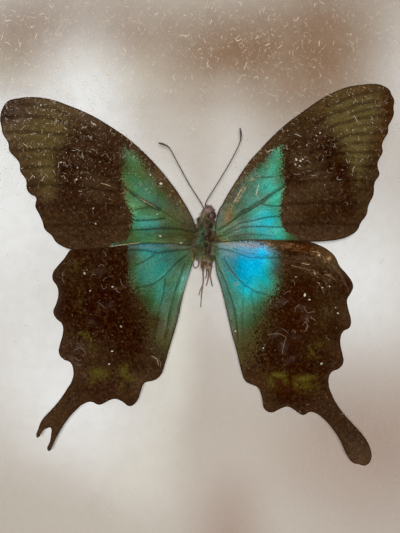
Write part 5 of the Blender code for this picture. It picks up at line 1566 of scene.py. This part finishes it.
# %% Fur on the body
grow_fur("thorax_fur", "thorax", thorax, 5200, lengths=(0.5, 1.2), width=0.12, lift=0.6, back=1.0, spread=0.2,
         keep=lambda local, facing: (facing[:, 2] > -0.55) & (local[:, 1] > -5.2))
grow_fur("flank_fur", "thorax", thorax, 4200, lengths=(0.7, 1.5), width=0.10, lift=0.35, back=0.7, spread=0.6,
         keep=lambda local, facing: (np.abs(facing[:, 0]) > 0.45) & (facing[:, 2] > -0.35)
         & (local[:, 1] < 3.2) & (local[:, 1] > -5.0) & (local[:, 2] > -2.2))
grow_fur("shoulder_fur", "thorax", thorax, 16000, lengths=(1.0, 2.7), width=0.11, lift=0.3, back=0.6, spread=2.2,
         keep=lambda local, facing: (np.abs(local[:, 0]) > 0.9) & (local[:, 1] < 3.4)
         & (local[:, 2] > np.where(local[:, 1] > -0.8, 0.95, 0.45))
         & (local[:, 1] > -4.6) & (draw.random(len(local)) < np.where(local[:, 0] < 0, 1.0, 0.4)))
grow_fur("stump_fibres", "thorax", thorax, 1100, lengths=(0.5, 1.6), width=0.06, lift=0.3, back=1.2, spread=0.1,
         keep=lambda local, facing: local[:, 1] < -6.3)
grow_fur("head_fur", "head", head_form, 1500, lengths=(0.3, 0.75), width=0.07, lift=0.9, back=0.2, spread=0.2,
         keep=lambda local, facing: (local[:, 0] < 1.0) | (local[:, 1] > 6.9))

# %% [markdown]
# ## Feelers
#
# A feeler is a chain of short segments that ends in a slim club, which tips up. Each segment is a little thicker
# at its end, so the radius goes up and down along the line, and the line follows the solid's.

# %% Feelers
FEELER_LEFT = [
    (-0.45, 7.35, -0.55), (-1.45, 9.2, -0.1), (-4.6, 14.2, 0.8), (-8.2, 20.9, 1.6), (-9.3, 22.7, 1.8),
    (-10.6, 23.45, 1.85), (-11.9, 23.8, 1.9),
]
FEELER_RIGHT = [
    (-0.05, 7.65, -0.55), (0.1, 9.2, -0.2), (2.75, 13.5, 0.8), (5.95, 18.8, 1.6), (8.2, 23.2, 2.15),
    (8.75, 25.4, 2.35), (8.5, 27.5, 2.4),
]
FEELER_SEGMENT = 0.42
FEELER_RADIUS = 0.12
RING_SWELL = 0.09
CLUB_START, CLUB_RUN, CLUB_SWELL = 0.8, 0.14, 1.1


def model_feeler(name, knots, node):
    """Draw a segmented feeler with a club at its end."""
    line = smooth_line(knots, FEELER_SEGMENT / 2)
    along = np.linspace(0, 1, len(line))
    club = 1 + CLUB_SWELL * np.clip((along - CLUB_START) / CLUB_RUN, 0, 1) ** 1.5
    tip = np.sqrt(np.clip((1.02 - along) / 0.06, 0.1, 1))
    rings = 1 + RING_SWELL * (-1.0) ** np.arange(len(line))
    radii = FEELER_RADIUS * club * tip * rings
    feeler = draw_wire(name, np.column_stack([line, radii]), FEELER_SEGMENT / 2, 2)
    take(feeler)
    bpy.ops.object.shade_smooth_by_angle(angle=math.radians(60))
    coat(feeler, feeler_paint)
    declare(feeler, name, "feeler", node)


feeler_paint = Paint("feeler_horn", Roughness=0.5)
spot = feeler_paint.place()
speckle = feeler_paint.noise(spot, 3.0, 3, 0.7)
feeler_paint.feed("Base Color", feeler_paint.ramp(speckle, [(0.3, shade(36, 25, 18)), (0.75, shade(78, 60, 46))]))
feeler_paint.feed("Normal", feeler_paint.bump(speckle, 0.4, 0.04))
model_feeler("feeler_left", FEELER_LEFT, "antenna_left")
model_feeler("feeler_right", FEELER_RIGHT, "antenna_right")

# %% [markdown]
# ## Legs
#
# Dried legs fold up under the body, and here their ends show behind the stump. A leg tapers from thigh to foot,
# thickens at its joints and carries a few stiff spines, so each is drawn with its own thicknesses and then
# strewn with the same hair, made stiff and short.

# %% Legs
LEGS = {
    "hindleg_left": [
        [(-0.7, -3.4, -4.2, 0.20), (-0.75, -7.5, -4.3, 0.17), (-0.68, -10.7, -4.6, 0.16), (-0.9, -12.5, -4.8, 0.14),
         (-1.15, -14.6, -5.1, 0.12), (-1.35, -17.4, -5.3, 0.09)],
        [(-0.95, -12.0, -4.75, 0.12), (-1.5, -13.4, -4.5, 0.1), (-1.8, -14.5, -4.4, 0.07)],
    ],
    "hindleg_right": [
        [(1.1, -3.0, -4.2, 0.20), (1.2, -7.5, -4.2, 0.18), (1.05, -9.5, -4.2, 0.16), (1.3, -10.7, -4.3, 0.14),
         (1.65, -12.2, -4.6, 0.1)],
    ],
    "midleg_left": [
        [(-1.5, -2.2, -4.0, 0.20), (-1.8, -6.3, -3.6, 0.15), (-2.15, -7.2, -3.6, 0.13), (-2.7, -7.6, -3.7, 0.12),
         (-3.1, -7.1, -3.8, 0.11), (-3.2, -6.4, -4.0, 0.08)],
    ],
    "midleg_right": [
        [(0.4, -3.0, -4.7, 0.20), (0.7, -8.3, -5.1, 0.17), (0.5, -10.5, -5.3, 0.14), (0.1, -12.0, -5.5, 0.1)],
    ],
    "foreleg_left": [
        [(-0.1, -2.4, -4.4, 0.20), (0.1, -6.0, -4.2, 0.17), (0.2, -8.2, -3.7, 0.15), (0.15, -9.3, -3.6, 0.12),
         (-0.2, -10.2, -3.8, 0.09)],
    ],
    "foreleg_right": [
        [(1.0, 3.6, -3.9, 0.20), (1.7, 1.2, -4.6, 0.17), (1.5, -1.6, -4.5, 0.15), (1.9, -2.8, -4.4, 0.1)],
    ],
}
LEG_SPACING = 0.5
SPINE_LENGTH, SPINE_WIDTH = 0.42 * MM, 0.05 * MM
leg_paint = Paint("dry_leg", Roughness=0.55)
speckle = leg_paint.noise(leg_paint.place(), 2.2, 3, 0.7)
leg_paint.feed("Base Color", leg_paint.ramp(speckle, [(0.3, shade(92, 66, 44)), (0.75, shade(150, 118, 86))]))
leg_paint.feed("Normal", leg_paint.bump(speckle, 0.4, 0.05))
for node, lines in LEGS.items():
    parts = [draw_wire(node + "_wire", line, LEG_SPACING) for line in lines]
    spine_line = smooth_line(lines[0], LEG_SPACING)[3:]
    spots = np.array([from_pin(*knot[:3]) for knot in spine_line])
    run = unit(np.gradient(spots, axis=0))
    aside = unit(np.cross(run, draw.normal(0, 1, (len(run), 3))))
    long, wide = np.full(len(run), SPINE_LENGTH), np.full(len(run), SPINE_WIDTH)
    axes = growing_axes(run * 0.8 + aside, run, long, wide)
    parts.append(strew(node + "_spines", hair_model, spots, axes))
    leg = join(parts)
    coat(leg, leg_paint)
    take(leg)
    bpy.ops.object.shade_smooth_by_angle(angle=math.radians(60))
    declare(leg, node + "_limb", "leg", node)

# %% [markdown]
# ## Dust on the glass
#
# Years of dust lie on the pane as fine flakes and short curled fibres, thickest towards the top and the left,
# and wiped off over the body. They lie on top of the glass, so they cross the wings and the paper alike.

# %% Where dust lies
glass_low, glass_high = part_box("glass_pane")
GROOVE = 6 * MM
DUST_LIFT = 0.01 * MM
WIPED_HALF_WIDTH, WIPED_HALF_LENGTH = 3 * MM, 9 * MM
FLAKE_DRAWS, FLAKES_BELOW = 26500, 0.1
FLAKE_SIZE, FLAKE_VARIETY, FLAKE_LIMITS = 0.12, 0.38, (0.06, 0.34)


def on_glass(x, y):
    """The place on the glass that hides a place at the wings, both as the camera sees them."""
    eye = picture_middle + Vector((0, 0, CAMERA_DISTANCE))
    mark = from_pin(x, y, WINGS_ABOVE_ROOTS)
    share = (eye.z - GLASS_TOP) / (eye.z - mark.z)
    return eye + (mark - eye) * share


def upward(spots):
    """How dusty the pane is: 0 over its lower half, rising in two steps to 1 at the top, more so on the left."""
    x, y = (spots[:, 0] - PIN.x) / MM, (spots[:, 1] - PIN.y) / MM
    left = np.interp(x, (-40, -20, 15, 25), (1.5, 1.0, 1.0, 0.85))
    return np.clip(np.interp(y, (4, 16, 30, 42), (0, 0.5, 0.6, 1)) * left, 0, 1.2)


def scatter_on_glass(count, floor_share):
    """Random places on the glass, sparser below, where only a share is kept, and wiped off over the body."""
    spots = np.empty((count, 3))
    spots[:, 0] = draw.uniform(glass_low.x + GROOVE, glass_high.x - GROOVE, count)
    spots[:, 1] = draw.uniform(glass_low.y + GROOVE, glass_high.y - GROOVE, count)
    spots[:, 2] = GLASS_TOP + DUST_LIFT
    kept = draw.random(count) < floor_share + (1 - floor_share) * upward(spots)
    over_body = np.abs(spots[:, 0] - PIN.x) < WIPED_HALF_WIDTH
    over_body &= np.abs(spots[:, 1] - PIN.y) < WIPED_HALF_LENGTH
    return spots[kept & ~over_body]


def flat_axes(sizes):
    """Axes that turn each copy a random way on the glass and scale it."""
    turns = draw.uniform(0, 2 * math.pi, len(sizes))
    axes = np.zeros((len(sizes), 3, 3))
    axes[:, 0, 0], axes[:, 0, 1] = np.cos(turns) * sizes, -np.sin(turns) * sizes
    axes[:, 1, 0], axes[:, 1, 1] = np.sin(turns) * sizes, np.cos(turns) * sizes
    axes[:, 2, 2] = sizes
    return axes


print("dust helpers ready")

# %% [markdown]
# ## Flakes
#
# One flake is modelled with a handful of faces, and strewn with seeded places, sizes and paleness. The largest
# specks are placed one by one; a few of them, over the right hindwing's bare corner, are painted glints.

# %% Flakes of dust
NAMED_SPECKS_AND_GLINTS = [
    (-11.3, 13.6, 0.76, 0.61), (-13.9, 15.8, 0.48, 0.44), (-41.3, 33.2, 0.48, 0.51),
    (-36.3, 18.9, 0.48, 0.44), (-32.1, 17.6, 0.4, 0.38), (-32.4, 14.6, 0.56, 0.44), (-30.4, -8.8, 0.56, 0.54),
    (-29, -13.2, 0.4, 0.51), (-23.4, -12.2, 0.48, 0.44), (-21.3, -22.1, 0.48, 0.48),
    (-23.5, -28.3, 0.52, 0.54), (-24.2, -31.5, 0.48, 0.54), (28.3, -4.3, 0.4, 0.44), (29.1, -12.4, 0.4, 0.51),
    (30.9, -12.1, 0.4, 0.51), (24.7, -14.3, 0.76, 0.61), (25.9, -15.4, 0.48, 0.58), (22.5, -9.7, 0.4, 0.32),
    (33, -18.8, 0.48, 0.48), (28.9, -31.4, 0.56, 0.51), (7.3, -23.3, 0.48, 0.51), (14.3, -27.5, 0.4, 0.44),
    (22.6, 19.6, 0.64, 0.51), (23.6, 19.3, 0.56, 0.51), (24.2, 19.7, 0.48, 0.44), (22.4, 18.4, 0.48, 0.32),
    (23.4, 18.0, 0.48, 0.32), (28.5, 26.3, 0.48, 0.35), (27.6, 25.6, 0.4, 0.32), (25.2, 23.2, 0.4, 0.32),
    (-12.2, 6.0, 0.4, 0.38), (-11.4, 0.5, 0.64, 0.32), (-28.2, 7.4, 0.4, 0.38), (-27.6, 3.6, 0.48, 0.38),
    (32.4, -17.4, 0.4, 0.32), (-6.2, -1.2, 0.56, 0.29),
]
bpy.ops.object.select_all(action="DESELECT")
bpy.ops.mesh.primitive_cone_add(vertices=6, radius1=0.5, radius2=0.3, depth=0.15, location=(0, 0, 0.075))
flake_model = set_place(bpy.context.object, scale=(1.15, 0.85, 1))
pick_faces(flake_model, lambda face: face.center.x > 0.2)
bpy.ops.transform.translate(value=(0.12, 0.08, 0))
leave_edit()

fine_spots = scatter_on_glass(FLAKE_DRAWS, FLAKES_BELOW)
named_spots = np.array([on_glass(x, y) for x, y, size, cover in NAMED_SPECKS_AND_GLINTS])
sizes = np.clip(draw.lognormal(math.log(FLAKE_SIZE), FLAKE_VARIETY, len(fine_spots)), *FLAKE_LIMITS)
sizes = np.concatenate([sizes, [size for x, y, size, cover in NAMED_SPECKS_AND_GLINTS]]) * MM
dusty = upward(fine_spots)
covers = (0.22 + 0.4 * dusty + 0.25 * dusty**3) * draw.uniform(0.2, 1.0, len(fine_spots)) ** 1.5
covers = np.concatenate([covers, [cover for x, y, size, cover in NAMED_SPECKS_AND_GLINTS]])
tones = np.concatenate([draw.random(len(fine_spots)), np.ones(len(NAMED_SPECKS_AND_GLINTS))])
spots = np.vstack([fine_spots, named_spots])
flakes = strew("dust_flakes", flake_model, spots, flat_axes(sizes), cover=covers, tone=tones)

dust_paint = Paint("glass_dust", Roughness=0.9)
dust_tone = dust_paint.mark("tone") + (dust_paint.noise(dust_paint.place(), 5.0, 2) - 0.5) * 0.4
dust_colour = dust_paint.ramp(dust_tone, [(0.0, shade(248, 226, 196)), (1.0, shade(254, 242, 220))])
dust_paint.feed("Base Color", dust_colour)
dust_paint.feed("Alpha", dust_paint.mark("cover"))
coat(flakes, dust_paint)
declare(flakes, "dust_flakes", "case_glass")

# %% [markdown]
# ## Fibres on the glass
#
# Short curled fibres of lint lie among the flakes. Five are drawn as thin wires, a millimetre long each, and
# strewn flat on the pane in several sizes. The longest ones that the photograph shows are drawn one by one.

# %% Fibres
FIBRE_RADIUS, FIBRE_SPACING = 0.055, 0.19
FIBRE_DRAWS, FIBRES_BELOW = 2300, 0.04
FIBRE_SIZE, FIBRE_VARIETY, FIBRE_LIMITS = 0.62, 0.42, (0.3, 1.8)
LONG_RADIUS, LONG_SPACING = 0.09, 0.4
LONG_COVER, LONG_TONE = 0.07, 0.35
FIBRE_SHAPES = [
    [(-0.5, 0), (-0.2, 0.12), (0.2, 0.10), (0.5, -0.05)],
    [(-0.5, 0), (-0.1, 0.2), (0.25, 0.1), (0.3, -0.15), (0.1, -0.2)],
    [(-0.5, -0.1), (-0.2, 0.15), (0.1, -0.1), (0.45, 0.12)],
    [(-0.4, 0.1), (-0.15, -0.12), (0.15, -0.05), (0.4, -0.2)],
    [(-0.5, 0), (0, 0.04), (0.5, 0)],
]
LONG_FIBRES = [
    [(15.3, -24.3), (16.5, -24.0), (18.5, -24.0), (20.0, -25.0), (19.5, -26.5), (19.0, -29.0)],
    [(14.2, -28.4), (14.5, -27.2), (14.9, -26.4)], [(22.2, -18.6), (22.4, -17.4), (23.4, -16.6)],
    [(24.4, -17.0), (25.4, -18.6), (27.2, -18.2)], [(24.2, -21.8), (25.0, -20.8), (25.4, -22.4), (24.6, -23.4)],
    [(-35.9, -9.9), (-35.8, -10.6), (-35.4, -11.2)], [(-21.4, -10.2), (-21.2, -11.2), (-20.8, -12.0)],
    [(-26.8, -7.2), (-26.2, -6.6), (-25.4, -7.0)], [(-26.2, -11.6), (-25.6, -12.8), (-24.8, -12.2)],
    [(-22.4, -12.6), (-22.2, -13.4), (-21.4, -13.6)], [(-32.0, 21.4), (-31.4, 21.9), (-30.6, 21.6)],
    [(-31.9, 20.7), (-31.2, 20.2), (-30.6, 20.8)], [(-45.8, 28.6), (-45.0, 29.6), (-44.2, 29.9)],
    [(31.2, 24.6), (32.0, 24.3), (32.2, 25.2)], [(22.4, 17.8), (22.0, 18.8), (22.6, 19.6), (23.4, 19.2)],
    [(18.7, -22.7), (19.6, -22.9), (20.6, -23.9)], [(21.4, -23.4), (22.0, -23.0), (22.3, -23.8)],
    [(25.0, -23.0), (25.1, -22.3), (25.9, -22.0)], [(24.7, -20.2), (25.4, -20.3), (25.6, -21.1)],
    [(21.4, -10.4), (22.0, -10.8), (22.2, -11.8)], [(19.4, -14.2), (20.3, -13.4), (21.2, -13.5)],
    [(20.6, -15.8), (19.9, -16.0), (19.4, -16.8)], [(30.0, -24.2), (30.2, -25.0), (30.9, -25.4)],
    [(-28.8, -9.6), (-28.2, -9.0), (-27.5, -9.3)], [(-25.6, -10.8), (-25.4, -10.1), (-24.7, -9.9)],
    [(-33.1, -28.2), (-31.8, -27.5), (-30.6, -28.0), (-30.0, -29.2)],
    [(-32.8, -29.9), (-31.9, -30.6), (-31.0, -30.4)],
    [(-13.3, -30.0), (-12.0, -30.3), (-11.3, -31.4), (-11.5, -32.4)],
    [(-27.2, -16.1), (-26.4, -16.4), (-25.4, -17.4)],
]
fibre_parts = []
for number, shape in enumerate(FIBRE_SHAPES):
    knots = [(x, y, FIBRE_RADIUS, FIBRE_RADIUS) for x, y in shape]
    model = draw_wire(f"fibre_model_{number}", knots, FIBRE_SPACING, 0)
    model.data.transform(Matrix.Translation(-PIN))
    spots = scatter_on_glass(FIBRE_DRAWS, FIBRES_BELOW)
    dusty = upward(spots)
    sizes = np.clip(draw.lognormal(math.log(FIBRE_SIZE), FIBRE_VARIETY, len(spots)), *FIBRE_LIMITS)
    covers = (0.12 + 0.3 * dusty + 0.45 * dusty**3) * draw.uniform(0.2, 1.0, len(spots)) ** 1.5
    part = strew("fibres", model, spots, flat_axes(sizes), cover=covers, tone=draw.random(len(spots)))
    fibre_parts.append(part)
    bpy.data.objects.remove(model, do_unlink=True)
for knots in LONG_FIBRES:
    line = []
    for x, y in knots:
        place = (on_glass(x, y) - PIN) / MM
        line.append((*place[:2], place.z + LONG_RADIUS, LONG_RADIUS))
    wire = draw_wire("long_fibre", line, LONG_SPACING, 0)
    count = len(wire.data.vertices)
    keep_mark(wire.data, "cover", np.full(count, LONG_COVER))
    keep_mark(wire.data, "tone", np.full(count, LONG_TONE))
    fibre_parts.append(wire)
fibres = join(fibre_parts)
coat(fibres, dust_paint)
declare(fibres, "dust_fibres", "case_glass")
bpy.data.objects.remove(flake_model, do_unlink=True)
bpy.data.objects.remove(hair_model, do_unlink=True)
